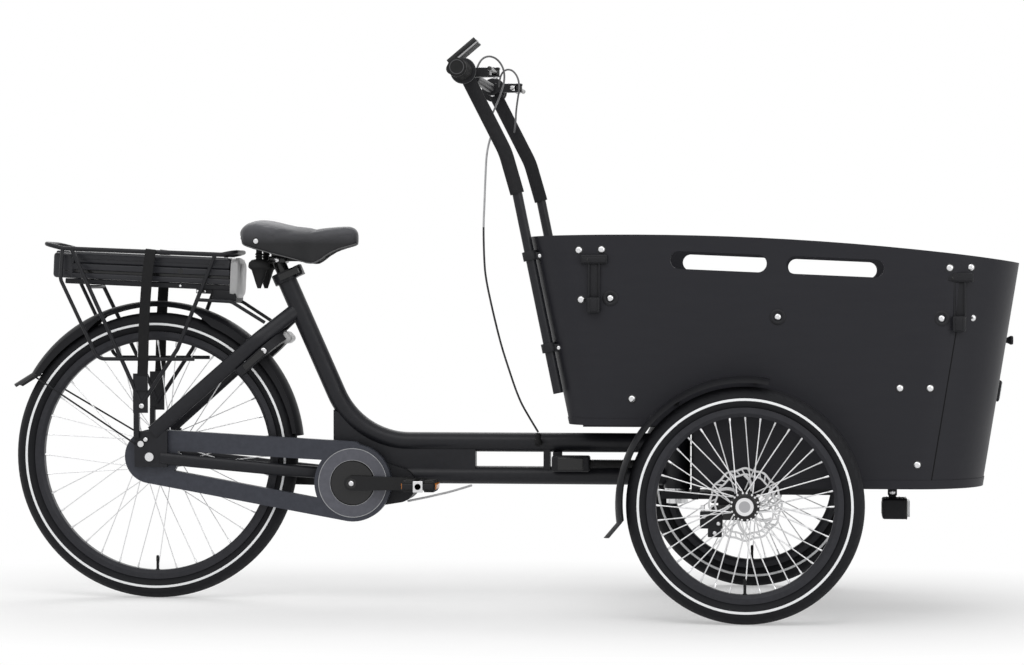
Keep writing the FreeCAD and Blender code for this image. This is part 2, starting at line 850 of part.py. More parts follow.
def main_frame():
    """Seat tube and main tube in one sweep, lower tube, head tube, stays, dropouts and motor bracket."""
    main = main_tube_points()
    low = [V(s.web_start, 0, s.lower_tube_height), V(s.pivot_station, 0, s.lower_tube_height)]
    half_web = s.web_thickness / 2
    solids = [tube(main, s.main_tube_radius, s.main_tube_bend), tube(low, s.lower_tube_radius)]
    head_foot = V(s.pivot_station, 0, s.head_tube_bottom)
    solids.append(Part.makeCylinder(s.head_tube_radius, s.head_tube_top - s.head_tube_bottom, head_foot))
    for side in (1, -1):
        solids.append(flat_tube(stay_points(side), s.stay_height, s.stay_width, s.stay_bend))
        lower = chainstay_points(side)
        solids.append(flat_tube(lower, s.chainstay_height, s.chainstay_width, s.chainstay_bend))
    plate_end = s.dropout_offset + s.dropout_thickness
    plate_rear, plate_front = -s.dropout_rear, s.dropout_front
    plate = brick(plate_rear, plate_front, s.dropout_offset, plate_end, s.dropout_bottom, s.dropout_top)
    solids += both_sides([plate])
    bracket_radius = s.motor_radius + s.bracket_wall
    shell = disc(s.crank_station, s.crank_height, bracket_radius, -s.bracket_half_width, s.bracket_half_width)
    far = bracket_radius + s.overrun
    underside = brick(
        s.crank_station - bracket_radius / 2,
        s.crank_station + far,
        -s.bracket_half_width - s.overrun,
        s.bracket_half_width + s.overrun,
        s.crank_height - far,
        s.crank_height,
    )
    solids.append(shell.cut(underside))
    bend_foot = main[1].x
    web = [
        (s.gusset_station, s.gusset_top),
        (bend_foot + s.main_tube_bend / 2, s.main_tube_height),
        (s.web_end, s.main_tube_height),
        (s.web_end, s.lower_tube_height),
        (s.web_start, s.lower_tube_height),
        (s.crank_station + bracket_radius / 2, s.crank_height + s.motor_radius / 2),
        (s.crank_station - bracket_radius / 2, s.crank_height + s.motor_radius),
        (s.gusset_station, s.gusset_bottom),
    ]
    solids.append(between(outline(web), -half_web, half_web))
    post_end = s.web_post_start + s.web_post_length
    post = brick(s.web_post_start, post_end, -half_web, half_web, s.lower_tube_height, s.main_tube_height)
    solids.append(post)
    frame = joined(solids)
    motor_room = motor_shape(s.fit_gap)
    frame = frame.cut(motor_room)
    bore_end = low[1] + V(-s.head_tube_radius, 0, main[2].z - low[1].z)
    inside = tube(main[:2] + [bore_end], bore_radius(), s.main_tube_bend)
    lower_inside = [low[0] + AHEAD * s.tube_wall, low[1] - AHEAD * s.head_tube_radius]
    frame = frame.cut(inside).cut(tube(lower_inside, s.lower_tube_radius - s.tube_wall))
    head = s.head_tube_top - s.head_tube_bottom
    frame = frame.cut(Part.makeCylinder(s.bearing_radius, head, V(s.pivot_station, 0, s.head_tube_bottom)))
    axle = disc(0, s.rear_wheel_radius, s.rear_axle_radius, -plate_end, plate_end)
    node("main_frame", feature("main_frame", frame.cut(axle).removeSplitter()))


def bore_radius():
    """The seat tube's bore, which the seat post slides in, runs on through the main tube."""
    return s.seat_post_radius + s.shaft_gap


def motor_shape(gap):
    """Round gear housing about the crank with a nose reaching forward, larger by the gap."""
    crank = V(s.crank_station, 0, s.crank_height)
    nose = V(s.motor_nose_station, 0, s.motor_nose_height)
    face = wrapped(crank, s.motor_radius + gap, nose, s.motor_nose_radius + gap)
    return between(face, -s.motor_right - gap, s.motor_left + gap)


def motor_unit():
    housing = feature("motor_housing", motor_shape(0))
    bore = rod(
        "motor_bore",
        "crank_axle_radius + shaft_gap",
        "motor_right + motor_left",
        "crank_station",
        "-motor_right",
        "crank_height",
        LEFT,
    )
    node("motor_unit", cut("motor_unit", housing, bore))


def pivot_parts():
    """Two flanged bushes in the head tube and the kingpin that turns in them."""
    inner = "kingpin_radius + shaft_gap"
    lower_face = "arm_bottom + arm_thickness + fit_gap"
    upper_face = "box_rear_bottom - upper_arm_thickness - fit_gap"
    lower = [
        (inner, lower_face),
        ("bearing_flange", lower_face),
        ("bearing_flange", "head_tube_bottom"),
        ("bearing_radius", "head_tube_bottom"),
        ("bearing_radius", "head_tube_bottom + bearing_length"),
        (inner, "head_tube_bottom + bearing_length"),
    ]
    upper = [
        (inner, "head_tube_top - bearing_length"),
        ("bearing_radius", "head_tube_top - bearing_length"),
        ("bearing_radius", "head_tube_top"),
        ("bearing_flange", "head_tube_top"),
        ("bearing_flange", upper_face),
        (inner, upper_face),
    ]
    lower_bush = turned("lower_bush", lower, "XZ_Plane")
    upper_bush = turned("upper_bush", upper, "XZ_Plane")
    node("pivot_bearings", grouped("pivot_bearings", lower_bush, upper_bush), "pivot_station")
    pin = rod("kingpin_shank", "kingpin_radius", "box_rear_bottom - arm_bottom", "0", "0", "arm_bottom")
    head = rod("kingpin_cap", "kingpin_head_radius", "kingpin_head", "0", "0", "arm_bottom - kingpin_head")
    node("kingpin", fused("kingpin", pin, head), "pivot_station")


def rear_axle_set():
    """Axle, spacers, end nuts and the bolts of the dropout."""
    outer = "dropout_offset + dropout_thickness"
    reach = f"({outer} + axle_nut_height)"
    axle = rod("axle_rod", "rear_axle_radius", f"2 * {reach}", "0", f"-{reach}", "rear_wheel_radius", LEFT)
    right_gap = "dropout_offset - chain_offset - sprocket_boss_reach - fit_gap"
    left_gap = "dropout_offset - rear_hub_half - fit_gap"
    pieces = [axle]
    for name, radius, depth, start in (
        ("right_spacer", "axle_spacer_radius", right_gap, "-dropout_offset"),
        ("left_spacer", "axle_spacer_radius", left_gap, "rear_hub_half + fit_gap"),
        ("right_nut", "axle_nut_radius", "axle_nut_height", f"-{reach}"),
        ("left_nut", "axle_nut_radius", "axle_nut_height", outer),
    ):
        pieces.append(rod(name, radius, depth, "0", start, "rear_wheel_radius", LEFT))
    whole = fused("axle_whole", *pieces)
    heads = []
    for index, (back, rise) in enumerate(dropout_bolt_places()):
        start = f"-({outer} + dropout_bolt_height)"
        label = f"dropout_bolt_{index}"
        head = rod(label, "dropout_bolt_radius", "dropout_bolt_height", back, start, rise, LEFT)
        heads += [head, mirrored(f"dropout_bolt_left_{index}", head)]
    node("rear_axle_set", grouped("rear_axle_set", whole, *heads))


def dropout_bolt_places():
    middle = "(rear_wheel_radius + dropout_top) / 2"
    return [("-dropout_bolt_radius * 3", middle)]


# Drive
def drive_parts():
    crank = V(s.crank_station, 0, s.crank_height)
    hub = V(0, 0, s.rear_wheel_radius)
    low = -s.chain_offset - s.chain_width / 2
    high = low + s.chain_width
    link = s.chain_half_height
    outer = wrapped(hub, s.sprocket_pitch + link, crank, s.chainring_pitch + link)
    inner = wrapped(hub, s.sprocket_pitch - link, crank, s.chainring_pitch - link)
    node("drive_chain", feature("drive_chain", between(outer.cut(inner), low, high)))
    spider_end = -s.chain_offset - s.case_width / 2 - s.window_thickness
    ring = toothed(crank, s.chainring_pitch, CHAINRING_TEETH)
    spider = disc(crank.x, crank.z, s.spider_radius, spider_end, -s.chain_offset + s.ring_thickness / 2)
    bore = disc(crank.x, crank.z, s.crank_axle_radius, spider_end, 0)
    node("chainring", feature("chainring", ring.fuse(spider).cut(bore).removeSplitter()))
    sprocket = toothed(hub, s.sprocket_pitch, SPROCKET_TEETH)
    boss_end = -s.chain_offset - s.sprocket_boss_reach
    boss = disc(hub.x, hub.z, s.sprocket_boss_radius, boss_end, -s.rear_hub_half - s.fit_gap)
    hole = disc(hub.x, hub.z, s.rear_axle_radius + s.shaft_gap, boss_end, 0)
    node("rear_sprocket", feature("rear_sprocket", sprocket.fuse(boss).cut(hole).removeSplitter()))


def toothed(centre, pitch, teeth):
    """A sprocket plate whose tooth tips stay clear inside the chain band."""
    tip = pitch - s.chain_half_height - s.tooth_clearance
    low = -s.chain_offset - s.ring_thickness / 2
    high = low + s.ring_thickness
    notches = []
    for index in range(teeth):
        turn = 2 * math.pi * index / teeth
        x = centre.x + tip * math.cos(turn)
        z = centre.z + tip * math.sin(turn)
        notches.append(disc(x, z, s.tooth_notch, low, high))
    return disc(centre.x, centre.z, tip, low, high).cut(Part.makeCompound(notches))


def case_solid(inset):
    """Rear end, front disc and two runs along their tangents, all drawn in by the inset."""
    low = -s.chain_offset - s.case_width / 2 + inset
    high = -s.chain_offset + s.case_width / 2 - inset
    crank = V(s.crank_station, 0, s.crank_height)
    hub = V(0, 0, s.rear_wheel_radius)
    upper_rear = hub + UP * (s.case_rear_radius - s.case_upper_half)
    upper_front = crank + UP * (s.case_front_radius + s.case_upper_lift - s.case_upper_half)
    away = crank - hub
    ease = math.asin((s.case_front_radius - s.case_rear_radius) / away.Length)
    fall = math.atan2(-away.z, away.x) + ease
    below = V(-math.sin(fall), 0, -math.cos(fall))
    lower_rear = hub + below * (s.case_rear_radius - s.case_lower_half)
    lower_front = crank + below * (s.case_front_radius - s.case_lower_half)
    upper_half = s.case_upper_half - inset
    lower_half = s.case_lower_half - inset
    solids = [
        disc(hub.x, hub.z, s.case_rear_radius - inset, low, high),
        disc(crank.x, crank.z, s.case_front_radius - inset, low, high),
        between(wrapped(upper_rear, upper_half, upper_front, upper_half), low, high),
        between(wrapped(lower_rear, lower_half, lower_front, lower_half), low, high),
    ]
    return joined(solids)


def chain_case():
    """A closed hollow case with openings for the axles and the round window beside the chainring."""
    outer_face = -s.chain_offset - s.case_width / 2
    inner_face = -s.chain_offset + s.case_width / 2
    middle = -s.chain_offset
    crank = (s.crank_station, s.crank_height)
    hub = (0, s.rear_wheel_radius)
    case = case_solid(0).cut(case_solid(s.case_wall))
    case = case.cut(disc(*crank, s.window_radius + s.fit_gap, outer_face, middle))
    case = case.cut(disc(*crank, s.case_hub_hole, middle, inner_face))
    case = case.cut(disc(*hub, s.case_axle_hole, outer_face, middle))
    case = case.cut(disc(*hub, s.case_hub_hole, middle, inner_face))
    node("chain_case", feature("chain_case", case))
    window = disc(*crank, s.window_radius, outer_face, outer_face + s.window_thickness)
    window = window.cut(disc(*crank, s.window_bore, outer_face, outer_face + s.window_thickness))
    node("chain_case_window", feature("chain_case_window", window))


def crank_parts():
    outside = "crank_arm_offset + crank_arm_thickness"
    axle = rod(
        "crank_axle",
        "crank_axle_radius",
        f"2 * ({outside})",
        "crank_station",
        f"-({outside})",
        "crank_height",
        LEFT,
    )
    pedal_span = "pedal_width + pedal_gap"
    right_pin = rod(
        "pedal_pin_right",
        "pedal_axle_radius",
        pedal_span,
        "crank_station + crank_length",
        f"-({outside} + {pedal_span})",
        "crank_height",
        LEFT,
    )
    left_pin = rod(
        "pedal_pin_left",
        "pedal_axle_radius",
        pedal_span,
        "crank_station - crank_length",
        outside,
        "crank_height",
        LEFT,
    )
    node("crank_axles", grouped("crank_axles", axle, right_pin, left_pin))
    arms = []
    for side, ahead in ((-1, 1), (1, -1)):
        inner = side * s.crank_arm_offset
        low = min(inner, inner + side * s.crank_arm_thickness)
        boss = V(s.crank_station, 0, s.crank_height)
        end = boss + AHEAD * ahead * s.crank_length
        plan = wrapped(boss, s.crank_boss_radius, end, s.crank_end_radius)
        arm = between(plan, low, low + s.crank_arm_thickness)
        hole = disc(boss.x, boss.z, s.crank_axle_radius, low, low + s.crank_arm_thickness)
        arms.append(feature(f"crank_arm_{'left' if side > 0 else 'right'}", arm.cut(hole)))
    node("crank_arms", grouped("crank_arms", *arms))
    for label, start, station in (
        ("pedal_right", f"-({outside} + {pedal_span})", "crank_station + crank_length"),
        ("pedal_left", f"{outside} + pedal_gap", "crank_station - crank_length"),
    ):
        tread = block(
            label + "_tread",
            "pedal_length",
            "pedal_width",
            "pedal_thickness",
            f"{station} - pedal_length / 2",
            start,
            "crank_height - pedal_thickness / 2",
        )
        fit = "pedal_axle_radius + shaft_gap"
        bore = rod(label + "_bore", fit, "pedal_width", station, start, "crank_height", LEFT)
        node(label, cut(label, tread, bore))


# Mudguards
def guard_shape(edge, crown, half, first, last, back, drop):
    """A curved guard turned part way round the wheel's axis, ending in a flared flap behind."""
    skin = s.guard_thickness

    def arc(inset):
        ends = V(edge, -half + inset, 0), V(edge, half - inset, 0)
        return ends[0], V(crown - inset, 0, 0), ends[1]

    outer = arc(0)
    inner = arc(skin)
    edges = [
        Part.Arc(*outer).toShape(),
        Part.LineSegment(outer[2], inner[2]).toShape(),
        Part.Arc(*inner).toShape(),
        Part.LineSegment(inner[0], outer[0]).toShape(),
    ]
    section = Part.Face(Part.Wire(Part.__sortEdges__(edges)))
    section.rotate(V(0, 0, 0), LEFT, -first)
    guard = section.revolve(V(0, 0, 0), LEFT, first - last)
    section.rotate(V(0, 0, 0), LEFT, first - last)
    flap = section.extrude(V(-back, 0, -drop))
    return guard.fuse(flap)


def rear_mudguard():
    guard = guard_shape(
        s.guard_edge_radius,
        s.guard_crown_radius,
        s.guard_half_width,
        s.guard_front_angle,
        s.guard_rear_angle,
        s.guard_flap_back,
        s.guard_flap_drop,
    )
    guard.translate(UP * (s.rear_wheel_radius + s.guard_lift))
    end = math.radians(s.guard_rear_angle)
    reach = s.guard_edge_radius
    plate_end = s.dropout_offset + s.dropout_thickness + s.guard_stay_radius + s.fit_gap
    hook = V(reach * math.cos(end), s.guard_half_width + s.guard_stay_radius, 0)
    hook.z = s.rear_wheel_radius + s.guard_lift + reach * math.sin(end)
    foot = V(-s.dropout_rear + s.guard_stay_radius, plate_end, (s.rear_wheel_radius + s.dropout_top) / 2)
    stays = both_sides([tube([hook, foot], s.guard_stay_radius)])
    node("rear_mudguard", feature("rear_mudguard", Part.makeCompound([guard] + stays)))


def front_mudguards():
    guard = guard_shape(
        s.front_guard_edge_radius,
        s.front_guard_crown_radius,
        s.front_guard_half_width,
        s.front_guard_start_angle,
        s.front_guard_end_angle,
        s.front_flap_back,
        s.front_flap_drop,
    )
    guard.translate(V(s.wheelbase, -s.half_track, s.front_wheel_radius))
    reach = s.front_guard_edge_radius + s.guard_thickness / 2
    inner_edge = -s.half_track + s.front_guard_half_width
    span = -s.box_half_width - inner_edge
    start_share, end_share = 0.06, 0.42
    struts = []
    for share in (start_share, end_share):
        turn = math.radians(
            s.front_guard_start_angle + share * (s.front_guard_end_angle - s.front_guard_start_angle)
        )
        root = V(s.wheelbase + reach * math.cos(turn), inner_edge - s.guard_thickness, 0)
        root.z = s.front_wheel_radius + reach * math.sin(turn)
        struts.append(Part.makeCylinder(s.guard_strut_radius, span + s.guard_thickness, root, LEFT))
    right = feature("front_mudguard_right", joined([guard] + struts))
    node("front_mudguards", grouped("front_mudguards", right, mirrored("front_mudguard_left", right)))


# Rack, battery and lock
def luggage_rack():
    """Top loop, four legs to two foot plates, pannier rails and cross tubes that carry the battery."""
    radius = s.rack_tube_radius
    half = s.rack_half_width
    foot = s.rack_foot_offset
    loop = [
        V(s.rack_rear_station, 0, s.rack_rear_height),
        V(s.rack_rear_station, -half, s.rack_rear_height),
        V(s.rack_rise_station, -half, s.rack_rise_height),
        V(s.rack_dip_station, -half, s.rack_dip_height),
        V(s.rack_front_station, -half, s.rack_front_height),
        V(s.rack_front_station, 0, s.rack_front_height),
    ]
    loop_half = tube(loop, radius, s.rack_bend)
    foot_place = V(s.rack_foot_station, -foot, s.rack_foot_height)
    rear_leg = [
        rack_top(s.rear_leg_station),
        V(s.rear_leg_knee_station, -foot, s.rack_foot_height + s.rear_leg_knee_rise),
        foot_place,
    ]
    front_knee = V(s.front_leg_knee_station, -foot, s.rack_foot_height + s.front_leg_knee_rise)
    front_leg = [rack_top(s.front_leg_station), front_knee, foot_place - UP * s.rack_foot_spread]
    pannier = [
        rack_top(s.pannier_top_station),
        V(s.pannier_top_station, -foot, s.pannier_top_height),
        V(s.pannier_rear_station, -foot, s.pannier_height),
        V(s.pannier_end_station, -foot, s.pannier_height),
    ]
    plate_low = s.rack_foot_station - s.rack_plate_width / 2
    plate_edge = -foot - s.rack_plate_thickness / 2
    plate_bottom = s.rack_foot_height - s.rack_plate_drop
    plate = brick(
        plate_low,
        plate_low + s.rack_plate_width,
        plate_edge,
        plate_edge + s.rack_plate_thickness,
        plate_bottom,
        plate_bottom + s.rack_plate_height,
    )
    dropout_face = -s.dropout_offset - s.dropout_thickness
    strip = brick(
        -s.dropout_rear,
        -s.dropout_rear + s.rack_strip_width,
        plate_edge,
        dropout_face,
        (s.rear_wheel_radius + s.dropout_top) / 2 + s.dropout_bolt_radius * 2,
        plate_bottom + s.overrun,
    )
    tie = [
        front_leg[0] + (front_knee - front_leg[0]) * s.rack_tie_share,
        V(s.rack_tie_knee_station, -s.rack_tie_knee_offset, s.rack_tie_knee_height),
        V(s.rack_tie_front_station, -s.rack_tie_front_offset, s.rack_tie_front_height),
    ]
    side = [
        loop_half,
        tube(rear_leg, s.rack_leg_radius, s.rack_bend),
        tube(front_leg, s.rack_leg_radius, s.rack_bend),
        tube(pannier, s.pannier_radius, s.rack_bend),
        plate,
        strip,
        tube(tie, s.rack_tie_radius, s.rack_bend),
    ]
    cross = []
    for leg in (rear_leg, front_leg):
        top, knee = leg[0], leg[1]
        slope = math.tan(math.radians(s.battery_slope))
        drop = top.z - rail_underside(top.x) + s.rack_cross_radius + s.rack_rail_gap
        share = drop / (top.z - knee.z - (knee.x - top.x) * slope)
        at = top + (knee - top) * share
        cross.append(Part.makeCylinder(s.rack_cross_radius, -2 * at.y, at, LEFT))
    node("luggage_rack", feature("luggage_rack", joined(both_sides(side) + cross)))


def rack_top(station):
    """A point on the rack's top tube."""
    share = (station - s.rack_rise_station) / (s.rack_dip_station - s.rack_rise_station)
    height = s.rack_rise_height + share * (s.rack_dip_height - s.rack_rise_height)
    return V(station, -s.rack_half_width, height)


def rail_underside(station):
    fall = (station - s.battery_rear_station) * math.tan(math.radians(s.battery_slope))
    return s.battery_bottom_height - fall - s.battery_rail_height - s.fit_gap


def battery_parts():
    """A case that slides out to the rear over a fixed rail with the controller and a pale end cap."""
    place = ("battery_rear_station", "0", "battery_bottom_height")
    half = s.battery_width / 2
    profile = [
        V(0, -half + s.battery_edge, 0),
        V(0, -half, s.battery_edge),
        V(0, -half, s.battery_height - s.battery_edge),
        V(0, -half + s.battery_edge, s.battery_height),
    ]
    profile += [V(0, -point.y, point.z) for point in reversed(profile)]
    section = Part.Face(Part.makePolygon(profile + profile[:1]))
    case = section.extrude(AHEAD * s.battery_length)
    node("battery_case", feature("battery_case", case, s.battery_slope), *place)
    rail_half = s.battery_rail_width / 2
    rail_top = -s.fit_gap
    rail_low = rail_top - s.battery_rail_height
    cap_start = s.battery_length + s.fit_gap
    cap_end = cap_start + s.battery_cap_length
    rail = brick(s.battery_rail_inset, cap_end, -rail_half, rail_half, rail_low, rail_top)
    box_start = cap_end - s.controller_length
    box = brick(box_start, cap_end, -rail_half, rail_half, rail_low - s.controller_height, rail_low)
    cap = section.extrude(AHEAD * s.battery_cap_length)
    cap.translate(AHEAD * cap_start)
    base = joined([rail, box, cap])
    node("battery_rail", feature("battery_rail", base, s.battery_slope), *place)


def ring_lock():
    """A horseshoe under the seat stays, astride the tyre and its mudguard."""
    half = s.lock_thickness / 2
    ring = Part.makeCylinder(s.lock_outer_radius, s.lock_thickness, V(0, 0, -half))
    arms = brick(-s.lock_arm_length, 0, -s.lock_outer_radius, s.lock_outer_radius, -half, half)
    hole = Part.makeCylinder(s.lock_inner_radius, s.lock_thickness, V(0, 0, -half))
    mouth = brick(
        -s.lock_outer_radius - s.overrun, 0, -s.lock_inner_radius, s.lock_inner_radius, -half, half
    )
    lock = ring.fuse(arms).cut(hole).cut(mouth).removeSplitter()
    rise = "(stay_knee_height - stay_end_height)"
    run = "(stay_knee_station - stay_end_station)"
    lean = f"atan({rise} / {run})"
    below = "(stay_height + lock_gap + lock_thickness / 2)"
    station = f"stay_end_station + lock_reach * cos({lean}) + {below} * sin({lean})"
    height = f"stay_end_height + lock_reach * sin({lean}) - {below} * cos({lean})"
    knee, end = stay_points(-1)[1:]
    slope = math.degrees(math.atan2(knee.z - end.z, knee.x - end.x))
    node("ring_lock", feature("ring_lock", lock, -slope), station, "0", height)


# Seat
def seat_parts():
    top = ("seat_top_station", "0", "seat_top_height")
    post = rod("seat_post", "seat_post_radius", "seat_post_depth + seat_post_rise", "0", "0", "0")
    post.Placement.Rotation = FreeCAD.Rotation(LEFT, -s.seat_tube_angle)
    foot = ("seat_top_station + seat_post_depth * sin(seat_tube_angle)", "0")
    node("seat_post", post, *foot, "seat_top_height - seat_post_depth * cos(seat_tube_angle)")
    collar_radius = s.main_tube_radius + s.clamp_wall
    collar = Part.makeCylinder(collar_radius, s.clamp_height, V(0, 0, -s.clamp_height))
    ear_end = collar_radius + s.clamp_ear_length
    ear_half = s.clamp_ear_width / 2
    ears = brick(s.main_tube_radius, ear_end, -ear_half, ear_half, -s.clamp_height, 0)
    pin_place = V(ear_end - s.clamp_ear_length / 2, -ear_half - s.clamp_lever_thickness / 2, -s.clamp_height)
    pin = Part.makeCylinder(s.clamp_pin_radius, s.clamp_height, pin_place)
    fork_end = -ear_half - s.clamp_lever_thickness
    lug_height = (s.clamp_height - s.clamp_lever_height) / 2 - s.fit_gap
    lugs = [
        brick(pin_place.x - s.clamp_lever_thickness, ear_end, fork_end, -ear_half, low, low + lug_height)
        for low in (-s.clamp_height, -lug_height)
    ]
    clamp = joined([collar, ears, pin] + lugs)
    clamp = clamp.cut(Part.makeCylinder(s.main_tube_radius, s.clamp_height, V(0, 0, -s.clamp_height)))
    node("seat_clamp", feature("seat_clamp", clamp, -s.seat_tube_angle), *top)
    lever_low = -s.clamp_height / 2 - s.clamp_lever_height / 2
    boss = Part.makeCylinder(
        s.clamp_lever_thickness / 2 - s.fit_gap, s.clamp_lever_height, V(pin_place.x, pin_place.y, lever_low)
    )
    outer_face = -collar_radius - s.fit_gap * 2
    blade = brick(
        pin_place.x - s.clamp_lever_length,
        pin_place.x,
        outer_face - s.clamp_lever_thickness,
        outer_face,
        lever_low,
        lever_low + s.clamp_lever_height,
    )
    neck = brick(
        pin_place.x - s.clamp_lever_thickness / 2 + s.fit_gap,
        pin_place.x + s.clamp_lever_thickness / 2 - s.fit_gap,
        outer_face - s.clamp_lever_thickness,
        pin_place.y,
        lever_low,
        lever_low + s.clamp_lever_height,
    )
    lever = joined([boss, blade, neck])
    hole = Part.makeCylinder(s.clamp_pin_radius + s.shaft_gap, s.clamp_height, pin_place)
    lever = lever.cut(hole)
    node("seat_clamp_lever", feature("seat_clamp_lever", lever, -s.seat_tube_angle), *top)


# Shares of the saddle's length, half width, top and underside, from its tail to its nose
SADDLE_SHARES = (
    (0.0, 0.5, 0.713, 0.62),
    (0.05, 0.74, 0.89, 0.43),
    (0.12, 0.9, 0.977, 0.37),
    (0.19, 0.97, 0.983, 0.32),
    (0.29, 1.0, 0.926, 0.25),
    (0.48, 0.74, 0.796, 0.12),
    (0.61, 0.47, 0.787, 0.03),
    (0.74, 0.34, 0.815, 0.217),
    (0.89, 0.27, 0.846, 0.37),
    (1.0, 0.15, 0.694, 0.44),
)


def saddle_section(station, half, top, low):
    """A crowned section with drawn-in sides and a flat underside."""
    side_share, crown_share = 0.72, 0.93
    waist = low + (top - low) * side_share
    left, right = V(station, half, waist), V(station, -half, waist)
    tuck_left, tuck_right = V(station, half * crown_share, low), V(station, -half * crown_share, low)
    edges = [
        Part.Arc(left, V(station, 0, top), right).toShape(),
        Part.LineSegment(right, tuck_right).toShape(),
        Part.LineSegment(tuck_right, tuck_left).toShape(),
        Part.LineSegment(tuck_left, left).toShape(),
    ]
    return Part.Wire(edges)


def saddle_parts():
    """Padded cover with side skirts, and the plate, rails, clamp and rubber buffers below it."""
    post_top = seat_line(s.seat_post_rise)
    tail = post_top.x - s.saddle_setback
    crest = post_top.z + s.saddle_rise
    floor = crest - s.saddle_depth
    roof = crest - s.saddle_roof_drop
    outer = []
    room = []
    for along, wide, top, low in SADDLE_SHARES:
        station = tail + along * s.saddle_length
        half = wide * s.saddle_width / 2
        under = floor + low * s.saddle_depth
        outer.append(saddle_section(station, half, floor + top * s.saddle_depth, under))
        if under < roof:
            inner_half = half - s.saddle_skirt
            corners = [
                V(station, inner_half, roof),
                V(station, -inner_half, roof),
                V(station, -inner_half, floor - s.overrun),
                V(station, inner_half, floor - s.overrun),
            ]
            room.append(Part.makePolygon(corners + corners[:1]))
    cover = Part.makeLoft(outer, True, False).cut(Part.makeLoft(room, True, True))
    node("saddle_cover", feature("saddle_cover", cover))
    plate_top = roof - s.fit_gap
    plate_low = plate_top - s.saddle_plate_thickness
    half = s.saddle_plate_half_width
    buffer_station = tail + s.buffer_inset
    front = tail + SADDLE_SHARES[-2][0] * s.saddle_length
    plate = brick(buffer_station + s.buffer_radius, front, -half, half, plate_low, plate_top)
    rail_low = plate_low - s.rail_drop
    start, end = buffer_station + s.buffer_radius + s.rail_radius, front - s.rail_radius
    rail = [
        V(start, half - s.rail_radius, plate_low),
        V(start + s.rail_drop, half - s.rail_radius, rail_low),
        V(end - s.rail_drop, half - s.rail_radius, rail_low),
        V(end, half - s.rail_radius, plate_low),
    ]
    rails = both_sides([tube(rail, s.rail_radius, s.rail_bend)])
    clamp_low = rail_low - s.saddle_clamp_height / 2
    clamp = brick(
        post_top.x - s.saddle_clamp_length / 2,
        post_top.x + s.saddle_clamp_length / 2,
        -s.saddle_clamp_width / 2,
        s.saddle_clamp_width / 2,
        clamp_low,
        clamp_low + s.saddle_clamp_height,
    )
    post_foot = seat_line(-s.seat_post_depth)
    post_length = s.seat_post_depth + s.seat_post_rise
    post = Part.makeCylinder(s.seat_post_radius, post_length, post_foot, post_top - post_foot)
    base = joined([plate, clamp] + rails).cut(post)
    buffers = []
    for side in (1, -1):
        foot = V(buffer_station, side * s.buffer_offset, roof - s.buffer_drop)
        cone = Part.makeCone(s.buffer_tip_radius, s.buffer_radius, s.buffer_height, foot)
        neck = foot + UP * s.buffer_height
        stem = Part.makeCylinder(s.buffer_stem_radius, roof - neck.z, neck)
        buffers.append(cone.fuse(stem).cut(cover))
    node("saddle_base", feature("saddle_base", Part.makeCompound([base] + buffers)))


# Cargo box
def box_plan(height, inset):
    """The box's rounded outline at a height, drawn in by the inset."""
    rear = s.box_rear_station + (s.box_top_height - height) * math.tan(math.radians(s.box_rear_lean)) + inset
    front = nose_station(height) - inset
    half = s.box_half_width - inset
    corners = [(front, 1, s.box_front_corner), (rear, 1, s.box_rear_corner)]
    corners += [(rear, -1, s.box_rear_corner), (front, -1, s.box_front_corner)]
    bevel_share = 1 - math.sqrt(0.5)
    ends = []
    for station, side, corner in corners:
        radius = corner - inset
        inward = -1 if station == front else 1
        along = V(station, side * (half - radius), height)
        middle = V(station + inward * radius * bevel_share, side * (half - radius * bevel_share), height)
        beside = V(station + inward * radius, side * half, height)
        ends.append((along, middle, beside) if (side > 0) == (inward < 0) else (beside, middle, along))
    edges = []
    for index, (start, middle, end) in enumerate(ends):
        edges.append(Part.Arc(start, middle, end).toShape())
        edges.append(Part.LineSegment(end, ends[(index + 1) % len(ends)][0]).toShape())
    return Part.Wire(edges)


def nose_station(height):
    """How far ahead the box's nose reaches at a height."""
    fall = s.box_top_height - s.box_nose_fall - height
    return s.box_front_station - fall * math.tan(math.radians(s.box_front_lean))


def box_block(inset, low, high):
    return Part.makeLoft([box_plan(low, inset), box_plan(high, inset)], True, True)


def seam_point(height):
    return s.seam_station + (height - s.box_front_bottom) * math.tan(math.radians(s.seam_lean))


